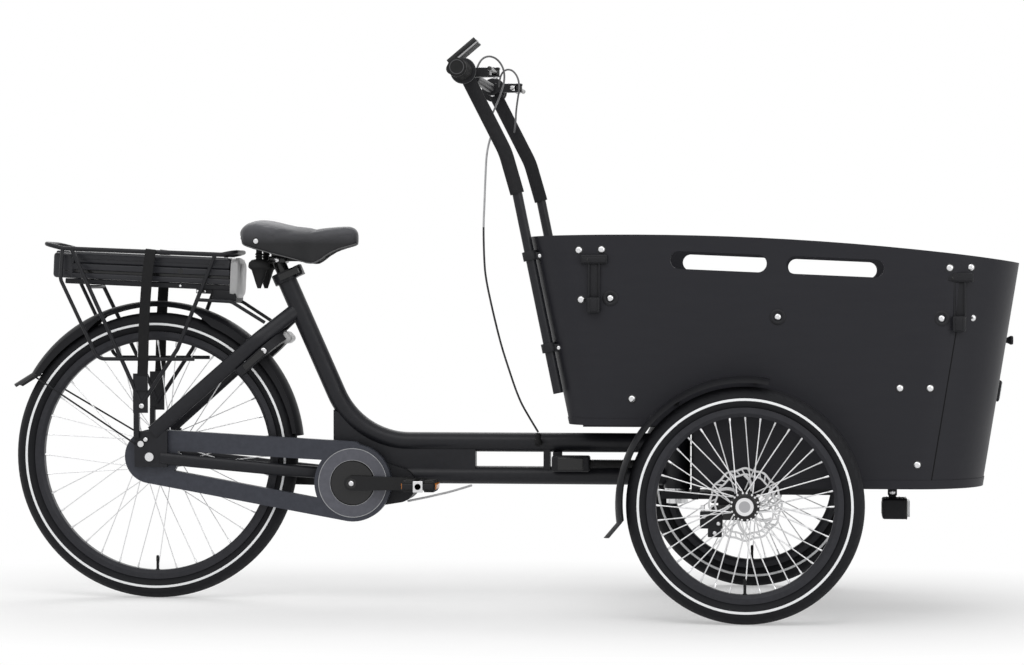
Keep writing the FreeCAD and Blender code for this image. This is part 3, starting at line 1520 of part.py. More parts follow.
def box_walls():
    """Bent plywood walls under one falling top edge: two sides, a front and a rear panel."""
    low = s.box_front_bottom + s.front_floor_thickness - s.floor_rebate
    high = s.box_top_height + s.overrun
    walls = box_block(0, low, high).cut(box_block(s.panel_thickness, low, high))
    wide = s.box_half_width + s.overrun
    rear_edge = s.box_rear_station - s.overrun
    front_edge = s.box_front_station + s.panel_thickness
    nose = V(s.box_front_station, 0, s.box_top_height - s.box_nose_fall)
    rim = Part.Arc(
        V(s.box_rear_station, 0, s.box_top_height),
        V(s.box_mid_station, 0, s.box_top_height - s.box_mid_fall),
        nose,
    ).toShape()
    lid = [
        nose,
        V(front_edge, 0, nose.z),
        V(front_edge, 0, high + s.overrun),
        V(rear_edge, 0, high + s.overrun),
        V(rear_edge, 0, s.box_top_height),
        V(s.box_rear_station, 0, s.box_top_height),
    ]
    lid_edges = [rim] + [Part.LineSegment(a, b).toShape() for a, b in zip(lid, lid[1:])]
    above = between(Part.Face(Part.Wire(Part.__sortEdges__(lid_edges))), -wide, wide)
    walls = walls.cut(above)
    rear_seat = s.box_rear_bottom + s.rear_floor_thickness - s.floor_rebate
    walls = walls.cut(brick(rear_edge, s.step_station, -wide, wide, low - s.overrun, rear_seat))
    ahead = [
        (seam_point(low), low),
        (front_edge, low),
        (front_edge, high),
        (seam_point(high), high),
    ]
    front_room = between(outline(ahead), -wide, wide)
    tail_half = s.box_half_width - s.box_rear_corner
    tail_end = s.box_rear_station + s.box_half_width
    tail = brick(rear_edge, tail_end, -tail_half, tail_half, low, high)
    node("box_front_panel", feature("box_front_panel", walls.common(front_room)))
    node("box_rear_panel", feature("box_rear_panel", walls.common(tail)))
    sides = walls.cut(front_room).cut(tail)
    right = sides.common(brick(rear_edge, front_edge, -wide, 0, low, high))
    for start, length, height in hand_slots():
        right = right.cut(slot_shape(start, length, height))
    side = feature("box_side_right", right)
    node("box_side_right", side)
    node("box_side_left", mirrored("box_side_left", feature("box_side_pattern", right)))


def hand_slots():
    return (
        (s.rear_slot_start, s.rear_slot_length, s.box_top_height - s.rear_slot_drop),
        (s.front_slot_start, s.front_slot_length, s.box_top_height - s.front_slot_drop),
    )


def slot_shape(start, length, height):
    """A hand hole with round ends that follows the fall of the rim."""
    radius = s.slot_height / 2
    fall = (length - s.slot_height) * math.tan(math.radians(s.slot_slope))
    rear = V(start + radius, 0, height + fall / 2)
    front = V(start + length - radius, 0, height - fall / 2)
    wide = s.box_half_width + s.overrun
    inside = -s.box_half_width + s.panel_thickness + s.overrun
    return between(wrapped(rear, radius, front, radius), -wide, inside)


def floor_board(start, end, low, thickness):
    """A floor board whose rebated edge carries the walls, with a small lip outside them."""
    wide = s.box_half_width + s.overrun
    top = low + thickness
    seat = top - s.floor_rebate
    inset = s.panel_thickness + s.fit_gap
    base = box_block(-s.floor_lip, low, seat).common(brick(start, end, -wide, wide, low, seat))
    raised_start = start + s.panel_thickness + s.fit_gap
    raised = box_block(inset, seat, top).common(brick(raised_start, end, -wide, wide, seat, top))
    return base.fuse(raised).removeSplitter()


def box_floor():
    """Raised rear floor, riser and front footwell."""
    rear_top = s.box_rear_bottom + s.rear_floor_thickness
    front_seat = s.box_front_bottom + s.front_floor_thickness - s.floor_rebate
    rear_edge = s.box_rear_station - s.overrun
    front_edge = s.box_front_station + s.overrun
    rear = floor_board(rear_edge, s.step_station, s.box_rear_bottom, s.rear_floor_thickness)
    front = floor_board(s.step_station, front_edge, s.box_front_bottom, s.front_floor_thickness)
    inside = s.box_half_width - s.panel_thickness - s.fit_gap
    riser_end = s.step_station + s.panel_thickness
    riser = brick(s.step_station, riser_end, -inside, inside, front_seat, rear_top)
    node("box_floor", feature("box_floor", Part.makeCompound([rear, riser, front])))


def side_face(station, height):
    """How far out the box's side lies at a station, less on the rounded front corner."""
    start = nose_station(height) - s.box_front_corner
    past = max(station - start, 0)
    return s.box_half_width - s.box_front_corner + math.sqrt(s.box_front_corner**2 - past**2)


# Shares of the box's length and of its height for the bolts and the cover studs of one side
BOLT_SHARES = (
    (0.105, 0.945),
    (0.151, 0.947),
    (0.109, 0.748),
    (0.851, 0.873),
    (0.894, 0.874),
    (0.897, 0.676),
    (0.753, 0.400),
    (0.812, 0.400),
    (0.787, 0.096),
    (0.213, 0.354),
)
STUD_SHARES = ((0.169, 0.754), (0.508, 0.679), (0.836, 0.673))
# Shares for the upper ends of the two pole holders of one side
HOLDER_SHARES = ((0.136, 0.926), (0.873, 0.852))


def on_side(share):
    length = s.box_front_station - s.box_rear_station
    depth = s.box_top_height - s.box_front_bottom
    return s.box_rear_station + share[0] * length, s.box_front_bottom + share[1] * depth


def side_heads(shares, radius, height):
    """Round heads on the right side, standing on the panel's face."""
    heads = []
    for share in shares:
        station, rise = on_side(share)
        face = side_face(station + radius, rise)
        heads.append(Part.makeCylinder(radius, height, V(station, -face, rise), -LEFT).cut(box_body()))
    return heads


def box_body():
    """The whole block that the box's outer faces enclose."""
    return box_block(0, s.box_front_bottom, s.box_top_height + s.overrun)


def box_bolts():
    heads = side_heads(BOLT_SHARES, s.box_bolt_radius, s.box_bolt_height)
    heads += side_heads(STUD_SHARES, s.stud_radius, s.stud_height)
    node("box_bolts", feature("box_bolts", Part.makeCompound(both_sides(heads))))


def pole_holder(share):
    """A rain-hood pole holder: top plate, strip and an open cup below."""
    station, top = on_side(share)
    face = -side_face(station + s.holder_plate_length / 2, top)
    out = -side_face(station - s.holder_plate_length / 2, top) - s.holder_thickness
    half = s.holder_width / 2
    plate = brick(
        station - s.holder_plate_length / 2,
        station + s.holder_plate_length / 2,
        out,
        face,
        top - s.holder_plate_height,
        top,
    )
    strip = brick(station - half, station + half, out, face, top - s.holder_drop, top)
    cup_low = top - s.holder_drop
    cup_place = V(station, out - s.holder_cup_radius / 2, cup_low)
    cup = Part.makeCylinder(s.holder_cup_radius, s.holder_cup_height, cup_place)
    bore = Part.makeCylinder(
        s.holder_cup_radius - s.holder_thickness / 2, s.holder_cup_height, cup_place + UP * s.holder_thickness
    )
    heads = side_heads(BOLT_SHARES + STUD_SHARES, s.stud_radius + s.fit_gap, s.stud_height * 2)
    return joined([plate, strip, cup]).cut(bore).cut(box_body()).cut(Part.makeCompound(heads))


def bar_axis(height):
    """A point on the right upright below its sleeve."""
    share = (height - s.bar_foot_height) / (s.bar_sleeve_height - s.bar_foot_height)
    station = s.bar_foot_station + share * (s.bar_sleeve_station - s.bar_foot_station)
    return V(station, -s.upright_offset, height)


def bar_clip(height):
    """A saddle clip that holds the upright to the box's rear corner."""
    at = bar_axis(height)
    ring = Part.makeCylinder(s.bar_radius + s.clip_wall, s.clip_height, at)
    half = s.bar_radius
    foot = brick(at.x, at.x + s.clip_reach, at.y - half, at.y + half, height, height + s.clip_height)
    return joined([ring, foot]).cut(upright_shape(s.bar_radius)).cut(box_body())


def box_fittings():
    """Pole holders, upright clips, front reflector, cover knob and the headlight's bracket."""
    pairs = [pole_holder(share) for share in HOLDER_SHARES]
    pairs += [bar_clip(s.upper_clip_height), bar_clip(s.lower_clip_height)]
    body = box_block(0, s.box_front_bottom, s.box_top_height)
    half = s.reflector_width / 2
    reflector = front_pad(s.reflector_place, half, s.reflector_height, s.reflector_depth).cut(body)
    face = box_plan(s.knob_height, 0).BoundBox.XMax
    knob_foot = V(face - s.knob_depth, 0, s.knob_height)
    knob = Part.makeCylinder(s.knob_radius, s.knob_depth * 2, knob_foot, AHEAD).cut(body)
    whole = Part.makeCompound(both_sides(pairs) + [reflector, knob, lamp_bracket()])
    node("box_fittings", feature("box_fittings", whole))


def front_pad(low, half, height, depth):
    """A pad on the box's nose, of even thickness."""
    inner = box_block(0, low, low + height)
    pad = inner.copy()
    pad.translate(AHEAD * depth)
    window = brick(s.box_mid_station, s.box_front_station + depth, -half, half, low, low + height)
    return pad.common(window).cut(inner)


def lamp_bracket():
    outer = s.lamp_ear_offset + s.lamp_ear_thickness
    start = s.lamp_pivot_station - s.lamp_ear_length / 2
    ear = brick(
        start, start + s.lamp_ear_length, s.lamp_ear_offset, outer, s.lamp_ear_bottom, s.box_front_bottom
    )
    pin = disc(s.lamp_pivot_station, s.lamp_pivot_height, s.lamp_pin_radius, -outer, outer)
    return joined(both_sides([ear]) + [pin])


def headlight():
    """A lamp hung from its bracket on a cross pin, with a clear lens in front."""
    top = s.lamp_bottom + s.lamp_height
    end = s.lamp_station + s.lamp_length
    housing = brick(s.lamp_station, end, -s.lamp_half_width, s.lamp_half_width, s.lamp_bottom, top)
    rounded = housing.makeFillet(s.lens_border, housing.Edges)
    half = s.lamp_ear_offset - s.fit_gap
    start = s.lamp_pivot_station - s.lamp_lug_length / 2
    lug_top = s.lamp_pivot_height + s.lamp_lug_length / 2
    lug = brick(start, start + s.lamp_lug_length, -half, half, top - s.lens_border, lug_top)
    hole = disc(s.lamp_pivot_station, s.lamp_pivot_height, s.lamp_pin_radius + s.shaft_gap, -half, half)
    node("headlight", feature("headlight", joined([rounded, lug]).cut(hole)))
    border = s.lens_border
    lens_half = s.lamp_half_width - border
    lens = brick(end, end + s.lens_depth, -lens_half, lens_half, s.lamp_bottom + border, top - border)
    node("headlight_lens", feature("headlight_lens", lens))


# Front subframe and brakes
def front_subframe():
    """Axle beam, clevis arms about the kingpin, riser post, and the bars under the floors."""
    beam = block(
        "axle_beam",
        "beam_size",
        "2 * axle_end",
        "beam_size",
        "wheelbase - beam_size / 2",
        "-axle_end",
        "front_wheel_radius - beam_size / 2",
    )
    rear = "pivot_station - arm_rear_reach"
    arm = block(
        "lower_arm",
        f"wheelbase - ({rear})",
        "2 * arm_half_width",
        "arm_thickness",
        rear,
        "-arm_half_width",
        "arm_bottom",
    )
    upper = block(
        "upper_arm",
        f"step_station - ({rear})",
        "2 * upper_arm_half_width",
        "upper_arm_thickness",
        rear,
        "-upper_arm_half_width",
        "box_rear_bottom - upper_arm_thickness",
    )
    post = block(
        "riser_post",
        "post_thickness",
        "2 * upper_arm_half_width",
        "box_rear_bottom - arm_bottom",
        "step_station - post_thickness",
        "-upper_arm_half_width",
        "arm_bottom",
    )
    bars = []
    for name, offset in (("right", "-rail_offset - rail_width"), ("left", "rail_offset")):
        bars.append(
            block(
                f"front_rail_{name}",
                "rail_front_station - wheelbase",
                "rail_width",
                "rail_height",
                "wheelbase",
                offset,
                "box_front_bottom - rail_height",
            )
        )
    for name, offset in (("right", "-floor_bar_offset - rail_width"), ("left", "floor_bar_offset")):
        bars.append(
            block(
                f"rear_bar_{name}",
                "step_station - floor_bar_start",
                "rail_width",
                "floor_bar_height",
                "floor_bar_start",
                offset,
                "box_rear_bottom - floor_bar_height",
            )
        )
    tie = block(
        "rear_bar_tie",
        "rail_width",
        "2 * floor_bar_offset",
        "floor_bar_height",
        "step_station - rail_width",
        "-floor_bar_offset",
        "box_rear_bottom - floor_bar_height",
    )
    whole = fused("subframe_welded", beam, arm, upper, post, tie, *bars)
    reach = "box_rear_bottom - arm_bottom"
    bore = rod("kingpin_bore", "kingpin_radius", reach, "pivot_station", "0", "arm_bottom")
    node("front_subframe", cut("front_subframe", whole, bore))


def wheel_bolts():
    """Axle bolts with broad caps, from the beam's ends out through the hubs."""
    hub_end = "half_track + front_hub_half + fit_gap"
    shank = rod(
        "bolt_shank",
        "wheel_bolt_radius",
        f"{hub_end} - axle_end",
        "wheelbase",
        f"-({hub_end})",
        "front_wheel_radius",
        LEFT,
    )
    cap = rod(
        "bolt_cap",
        "bolt_cap_radius",
        "bolt_cap_depth",
        "wheelbase",
        f"-({hub_end} + bolt_cap_depth)",
        "front_wheel_radius",
        LEFT,
    )
    right = fused("wheel_bolt_right", shank, cap)
    node("wheel_bolts", grouped("wheel_bolts", right, mirrored("wheel_bolt_left", right)))


def brake_calipers():
    """Caliper blocks astride the rotors, on lugs from the axle beam."""
    rotor = -s.half_track + s.front_hub_half + s.rotor_thickness / 2
    turn = math.radians(s.caliper_angle)
    reach = s.rotor_radius
    middle = V(s.wheelbase + reach * math.cos(turn), rotor, s.front_wheel_radius + reach * math.sin(turn))
    half = s.caliper_length / 2
    body = brick(
        middle.x - half,
        middle.x + half,
        rotor - s.caliper_outboard,
        rotor + s.caliper_inboard,
        middle.z - s.caliper_height / 2,
        middle.z + s.caliper_height / 2,
    )
    slot_reach = s.rotor_radius + s.caliper_slot
    slot_low = rotor - s.caliper_slot / 2
    slot = disc(s.wheelbase, s.front_wheel_radius, slot_reach, slot_low, slot_low + s.caliper_slot)
    lug_end = s.wheelbase - s.beam_size / 2
    inner = rotor + s.caliper_slot / 2
    lug_top = s.front_wheel_radius - s.beam_size / 2 + s.caliper_lug
    lug = brick(middle.x, lug_end, inner, inner + s.caliper_lug, middle.z, lug_top)
    body = joined([body, lug]).cut(slot)
    right = feature("brake_caliper_right", body)
    node("brake_calipers", grouped("brake_calipers", right, mirrored("brake_caliper_left", right)))


# Handlebar
def upright_points():
    offset = -s.upright_offset
    return [
        V(s.bar_foot_station, offset, s.bar_foot_height),
        V(s.bar_sleeve_station, offset, s.bar_sleeve_height),
        V(s.bar_bend_station, offset, s.bar_bend_height),
        V(s.bar_station, offset, s.bar_height),
    ]


def upright_shape(radius):
    return tube(upright_points(), radius, s.bar_bend)


def handlebar():
    crossbar = disc(s.bar_station, s.bar_height, s.bar_radius, -s.bar_half_length, s.bar_half_length)
    bar = joined([crossbar] + both_sides([upright_shape(s.bar_radius)]))
    node("handlebar", feature("handlebar", bar))
    points = upright_points()
    down = (points[2] - points[3]).normalize()
    top = points[3] + down * s.sleeve_top_gap
    sleeve = tube([points[1], points[2], top], s.sleeve_radius, s.bar_bend).cut(upright_shape(s.bar_radius))
    node("bar_sleeves", feature("bar_sleeves", Part.makeCompound(both_sides([sleeve]))))
    centre = V(s.bar_station, 0, s.bar_height)
    wing = centre + V(-s.grip_wing_back, 0, -s.grip_wing_drop)
    outline_face = wrapped(centre, s.grip_radius, wing, s.grip_wing_radius)
    grip = between(outline_face, -s.bar_half_length, -s.grip_start)
    bore = disc(s.bar_station, s.bar_height, s.bar_radius, -s.bar_half_length, -s.grip_start)
    node("grips", feature("grips", Part.makeCompound(both_sides([grip.cut(bore)]))))


def lever_parts():
    """Brake lever clamps with their pins, the tilted display, and the two levers."""
    start = -s.lever_clamp_offset - s.lever_clamp_width
    end = -s.lever_clamp_offset
    pivot = V(s.bar_station + s.lever_pivot_reach, (start + end) / 2, s.bar_height)
    ring = disc(s.bar_station, s.bar_height, s.bar_radius + s.lever_clamp_wall, start, end)
    half = s.lever_body_half_height
    body = brick(s.bar_station, pivot.x + s.lever_boss_radius, start, end, pivot.z - half, pivot.z + half)
    slot_start = pivot.x - s.lever_boss_radius - s.lever_slot_half
    slot = brick(
        slot_start,
        pivot.x + s.lever_boss_radius + s.overrun,
        start - s.overrun,
        end + s.overrun,
        pivot.z - s.lever_slot_half,
        pivot.z + s.lever_slot_half,
    )
    pin = Part.makeCylinder(s.lever_pin_radius, 2 * half, pivot - UP * half)
    bar = disc(s.bar_station, s.bar_height, s.bar_radius, start, end)
    clamp = joined([joined([ring, body]).cut(slot), pin]).cut(bar)
    low = pivot.z - s.lever_half_height
    boss = Part.makeCylinder(s.lever_boss_radius, 2 * s.lever_half_height, V(pivot.x, pivot.y, low))
    blade_half = s.lever_blade_width / 2
    blade = brick(
        pivot.x - blade_half,
        pivot.x + blade_half,
        pivot.y - s.lever_length,
        pivot.y,
        low,
        low + 2 * s.lever_half_height,
    )
    hole = Part.makeCylinder(s.lever_pin_radius + s.shaft_gap, 2 * half, pivot - UP * half)
    lever = joined([boss, blade]).cut(hole)
    right = feature("brake_lever_right", lever)
    node("brake_lever_right", right)
    node("brake_lever_left", mirrored("brake_lever_left", feature("brake_lever_pattern", lever)))
    display_low = -s.display_offset - s.display_width / 2
    mount_half = s.lever_clamp_width / 2
    mount = disc(
        s.bar_station,
        s.bar_height,
        s.bar_radius + s.lever_clamp_wall,
        -s.display_offset - mount_half,
        -s.display_offset + mount_half,
    )
    screen = Part.makeBox(s.display_length, s.display_width, s.display_thickness)
    screen.translate(V(-s.display_length / 4, display_low, s.bar_radius + s.display_rise))
    screen.rotate(V(0, 0, 0), LEFT, -s.display_angle)
    screen.translate(V(s.bar_station, 0, s.bar_height))
    neck = Part.makeBox(2 * s.bar_radius, s.lever_clamp_width, s.bar_radius + s.display_rise)
    neck.translate(V(-s.bar_radius, -s.display_offset - mount_half, 0))
    neck.rotate(V(0, 0, 0), LEFT, -s.display_angle)
    neck.translate(V(s.bar_station, 0, s.bar_height))
    bar = disc(s.bar_station, s.bar_height, s.bar_radius, -s.upright_offset, 0)
    display = joined([mount, neck, screen]).cut(bar)
    node("bar_controls", feature("bar_controls", Part.makeCompound(both_sides([clamp]) + [display])))


# Cables
# Cable points: shares of the lever's reach, of the uprights' offset and of the bar's height
BRAKE_CABLE_SHARES = (
    (0.308, -0.834, 1.002),
    (0.369, -0.768, 1.022),
    (0.615, -0.696, 1.035),
    (0.923, -0.636, 1.031),
    (1.139, -0.589, 1.014),
    (1.169, -0.571, 0.992),
    (1.077, -0.614, 0.969),
    (0.985, -0.714, 0.948),
    (0.923, -0.839, 0.931),
    (0.831, -0.935, 0.913),
)
# The same for the hanging cable, with its station as a share of the way from the bar to the pivot
CONTROL_CABLE_SHARES = (
    (0.129, -0.948, 0.885),
    (0.104, -0.920, 0.862),
    (0.093, -0.868, 0.808),
    (0.084, -0.814, 0.754),
    (0.076, -0.771, 0.716),
    (0.075, -0.707, 0.657),
    (0.080, -0.668, 0.622),
    (0.108, -0.589, 0.561),
    (0.142, -0.500, 0.500),
    (0.168, -0.436, 0.462),
    (0.220, -0.307, 0.393),
    (0.266, -0.229, 0.358),
    (0.308, -0.150, 0.328),
)
# Shares of the pivot's station, the web's thickness and the lower tube's height
MOTOR_CABLE_SHARES = (
    (0.612, -0.80, 0.922),
    (0.575, -0.87, 0.874),
    (0.546, -0.97, 0.846),
    (0.521, -1.07, 0.822),
    (0.490, -1.17, 0.796),
)


def shared(shares, start, length, across, height):
    """Points from rows of shares of three lengths."""
    return [V(start + x * length, y * across, z * height) for x, y, z in shares]


def cables():
    """Brake cables from the levers to the sleeves, the hanging control cable, and the leads on the frame."""
    reach = s.pivot_station - s.bar_station
    brake = shared(BRAKE_CABLE_SHARES, s.bar_station, s.lever_pivot_reach, s.upright_offset, s.bar_height)
    brake = cord(brake, s.brake_cable_radius, "brake cable")
    node("brake_cables", feature("brake_cables", Part.makeCompound(both_sides([brake]))))
    hanging = shared(CONTROL_CABLE_SHARES, s.bar_station, reach, s.upright_offset, s.bar_height)
    node("control_cable", feature("control_cable", cord(hanging, s.control_cable_radius, "control cable")))
    motor = shared(MOTOR_CABLE_SHARES, 0, s.pivot_station, s.web_thickness, s.lower_tube_height)
    motor = cord(motor, s.motor_cable_radius, "motor cable")
    low = -s.junction_inner - s.junction_width
    bottom = s.junction_middle - s.junction_height / 2
    box_end = s.junction_start + s.junction_length
    box = brick(s.junction_start, box_end, low, -s.junction_inner, bottom, bottom + s.junction_height)
    middle = V(s.junction_start, low + s.junction_width / 2, s.junction_middle)
    conduit = Part.makeCylinder(s.conduit_radius, s.conduit_end - s.junction_start, middle, AHEAD)
    tilt = math.sin((hanging[-1] - hanging[-2]).getAngle(UP))
    gland_top = hanging[-1].z - s.control_cable_radius * tilt - s.fit_gap
    gland_place = V(hanging[-1].x, hanging[-1].y, s.main_tube_height)
    gland = Part.makeCylinder(s.gland_radius, gland_top - s.main_tube_height, gland_place)
    shelf = Part.makeCylinder(s.gland_radius, -gland_place.y, gland_place, LEFT)
    tube_room = tube(main_tube_points(), s.main_tube_radius, s.main_tube_bend)
    gland = gland.fuse(shelf).cut(tube_room).removeSplitter()
    low_room = Part.makeCylinder(s.lower_tube_radius, s.pivot_station, V(0, 0, s.lower_tube_height), AHEAD)
    holder_end = s.junction_start + s.junction_bracket
    holder_low = s.lower_tube_height
    holder = brick(s.junction_start, holder_end, -s.junction_inner, 0, holder_low, s.main_tube_height)
    holder = holder.cut(tube_room).cut(low_room)
    leads = Part.makeCompound([joined([box, conduit, holder]), motor, gland])
    node("frame_cables", feature("frame_cables", leads))


def build():
    front_wheels()
    rear_wheel()
    main_frame()
    motor_unit()
    pivot_parts()
    rear_axle_set()
    drive_parts()
    chain_case()
    crank_parts()
    rear_mudguard()
    front_mudguards()
    luggage_rack()
    battery_parts()
    ring_lock()
    seat_parts()
    saddle_parts()
    box_walls()
    box_floor()
    box_bolts()
    box_fittings()
    headlight()
    front_subframe()
    wheel_bolts()
    brake_calipers()
    handlebar()
    lever_parts()
    cables()


def centre():
    """Puts the origin under the middle of the whole length."""
    doc.recompute()
    rear = min(piece.Shape.BoundBox.XMin for piece in NODES.values())
    front = max(piece.Shape.BoundBox.XMax for piece in NODES.values())
    sheet.set("D1", str((rear + front) / 2))
    doc.recompute()
    print("middle station", (rear + front) / 2)


def check():
    """Stops before anything is written if an object failed or a shape is not sound."""
    faults = [item.Label for item in doc.Objects if {"Invalid", "Error"} & set(item.State)]
    faults += [label for label, piece in NODES.items() if piece.Shape.isNull() or not piece.Shape.isValid()]
    if faults:
        raise RuntimeError(f"unsound pieces: {faults}")


def write():
    os.makedirs("parts", exist_ok=True)
    for label, piece in NODES.items():
        piece.Shape.exportStep(f"parts/{label}.step")
    print(len(NODES), "sub-parts written")


build()
centre()
check()
write()
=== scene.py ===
# %% [markdown]
# # Cargo tricycle
# A front-loading tricycle with a wooden box between two small wheels, a low step-through frame
# and an electric drive. The solid model is loaded first and stays where it is. Every piece below
# is built around it in metres, in the same axes: +X forward, +Y to the rider's left, +Z up.

# %% Load the solid model
import math

import bmesh
import bpy
from mathutils import Matrix, Vector


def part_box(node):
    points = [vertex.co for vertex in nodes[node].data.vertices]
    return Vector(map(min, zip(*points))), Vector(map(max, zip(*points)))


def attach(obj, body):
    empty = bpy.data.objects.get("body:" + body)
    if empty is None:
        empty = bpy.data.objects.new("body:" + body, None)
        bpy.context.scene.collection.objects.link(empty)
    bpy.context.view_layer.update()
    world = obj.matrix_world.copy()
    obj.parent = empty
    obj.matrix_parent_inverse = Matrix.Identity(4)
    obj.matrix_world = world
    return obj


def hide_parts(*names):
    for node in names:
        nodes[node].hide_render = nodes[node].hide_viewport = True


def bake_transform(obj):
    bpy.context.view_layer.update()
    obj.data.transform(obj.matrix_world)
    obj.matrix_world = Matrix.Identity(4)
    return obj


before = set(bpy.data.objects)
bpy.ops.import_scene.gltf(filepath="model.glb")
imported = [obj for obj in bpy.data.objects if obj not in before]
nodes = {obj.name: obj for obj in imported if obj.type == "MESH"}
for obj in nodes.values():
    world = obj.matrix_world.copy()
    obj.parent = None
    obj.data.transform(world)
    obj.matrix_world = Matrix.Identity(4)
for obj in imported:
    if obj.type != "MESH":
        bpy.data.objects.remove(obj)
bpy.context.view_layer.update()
tyre_low, tyre_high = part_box("rear_tyre")
MIDDLE = -(tyre_low[0] + tyre_high[0]) / 2
TAU = 2 * math.pi
SIDES = ((-1, "right"), (1, "left"))
# the wheels stand on the ground, so a wheel's radius is also its axle's height
REAR_RADIUS, FRONT_RADIUS, FRONT_STATION = 329.5, 253, 1362


def at(x, y, z):
    """A point from its station ahead of the rear axle, offset and height, in millimetres."""
    return Vector((x / 1000 - MIDDLE, y / 1000, z / 1000))


print("nodes", len(nodes), "- rear axle stands", round(MIDDLE * 1000, 1), "mm behind the middle")

# %% [markdown]
# ## Camera
# The picture was taken from the right side, from far away and with a long lens, which keeps the
# wheels round. A short lens close by would spread the box and the rear wheel apart, so the
# distance comes first and the focal length then fills the frame.

# %% Camera
LENS, SENSOR = 99.97, 36
CAMERA_PLACE = at(1492, -6447, 715)
CAMERA_DROP, CAMERA_TURN = 0.897, 5.92
scene = bpy.context.scene
scene.view_settings.view_transform = "Standard"


def new_object(name, data):
    obj = bpy.data.objects.new(name, data)
    scene.collection.objects.link(obj)
    return obj


camera_data = bpy.data.cameras.new("camera")
camera_data.sensor_width = SENSOR
camera_data.lens = LENS
camera_data.clip_end = 100
camera = new_object("camera", camera_data)
camera.location = CAMERA_PLACE
camera.rotation_euler = (math.radians(90 - CAMERA_DROP), 0, math.radians(CAMERA_TURN))
scene.camera = camera
print("camera at", tuple(round(value, 2) for value in CAMERA_PLACE), "lens", LENS)

# %% [markdown]
# ## Light
# A studio picture on white needs soft light from everywhere. One bright world would do, but it
# leaves no form on black paint. Here the world gives most of the light and three wide lamps add
# the direction. The level is plain: a mid grey card renders as mid grey. The white that the
# camera sees is a separate strength, so the background turns white without more light falling on
# the tricycle.

# %% World and lamps
WORLD_LEVEL = 0.66
# name, place, aim, width and height, power
LAMPS = (
    ("key", (-0.6, -3.2, 4.2), (0, 0, 0.4), (4.0, 2.2), 60),
    ("fill", (3.4, -3.0, 1.8), (0.4, 0, 0.5), (2.2, 2.2), 30),
    ("back", (-0.5, 3.4, 3.2), (0, 0, 0.5), (4.0, 2.0), 60),
)


def background_rays(tree):
    """One for rays that show the background itself: straight, mirrored or through glass."""
    rays = tree.nodes.new("ShaderNodeLightPath")
    seen = rays.outputs["Is Camera Ray"]
    for name in ("Is Glossy Ray", "Is Transmission Ray"):
        either = tree.nodes.new("ShaderNodeMath")
        either.operation = "MAXIMUM"
        tree.links.new(seen, either.inputs[0])
        tree.links.new(rays.outputs[name], either.inputs[1])
        seen = either.outputs["Value"]
    return seen


world = bpy.data.worlds.new("studio")
scene.world = world
world.use_nodes = True
background = world.node_tree.nodes["Background"]
background.inputs["Color"].default_value = (1, 1, 1, 1)
level = world.node_tree.nodes.new("ShaderNodeMath")
level.operation = "MULTIPLY_ADD"
level.inputs[1].default_value = 1 - WORLD_LEVEL
level.inputs[2].default_value = WORLD_LEVEL
world.node_tree.links.new(background_rays(world.node_tree), level.inputs[0])
world.node_tree.links.new(level.outputs["Value"], background.inputs["Strength"])


def area_light(name, place, aim, size, power):
    data = bpy.data.lights.new(name, "AREA")
    data.shape = "RECTANGLE"
    data.size, data.size_y = size
    data.energy = power
    lamp = new_object(name, data)
    lamp.location = place
    lamp.rotation_euler = (Vector(aim) - Vector(place)).to_track_quat("-Z", "Y").to_euler()


for name, place, aim, size, power in LAMPS:
    area_light(name, place, aim, size, power)
print("world level", WORLD_LEVEL, "and", len(LAMPS), "lamps")

# %% [markdown]
# ## Materials
# Almost everything on this tricycle is black, and the blacks differ: satin powder paint, moulded
# plastic with a fine spark grain, rubber, varnished board. What tells them apart is gloss and
# grain, not colour. Painting each as a flat colour would lose that, so a small class joins noise
# nodes to the colour, the roughness and the bump of one surface, and every finish is one call to
# it.


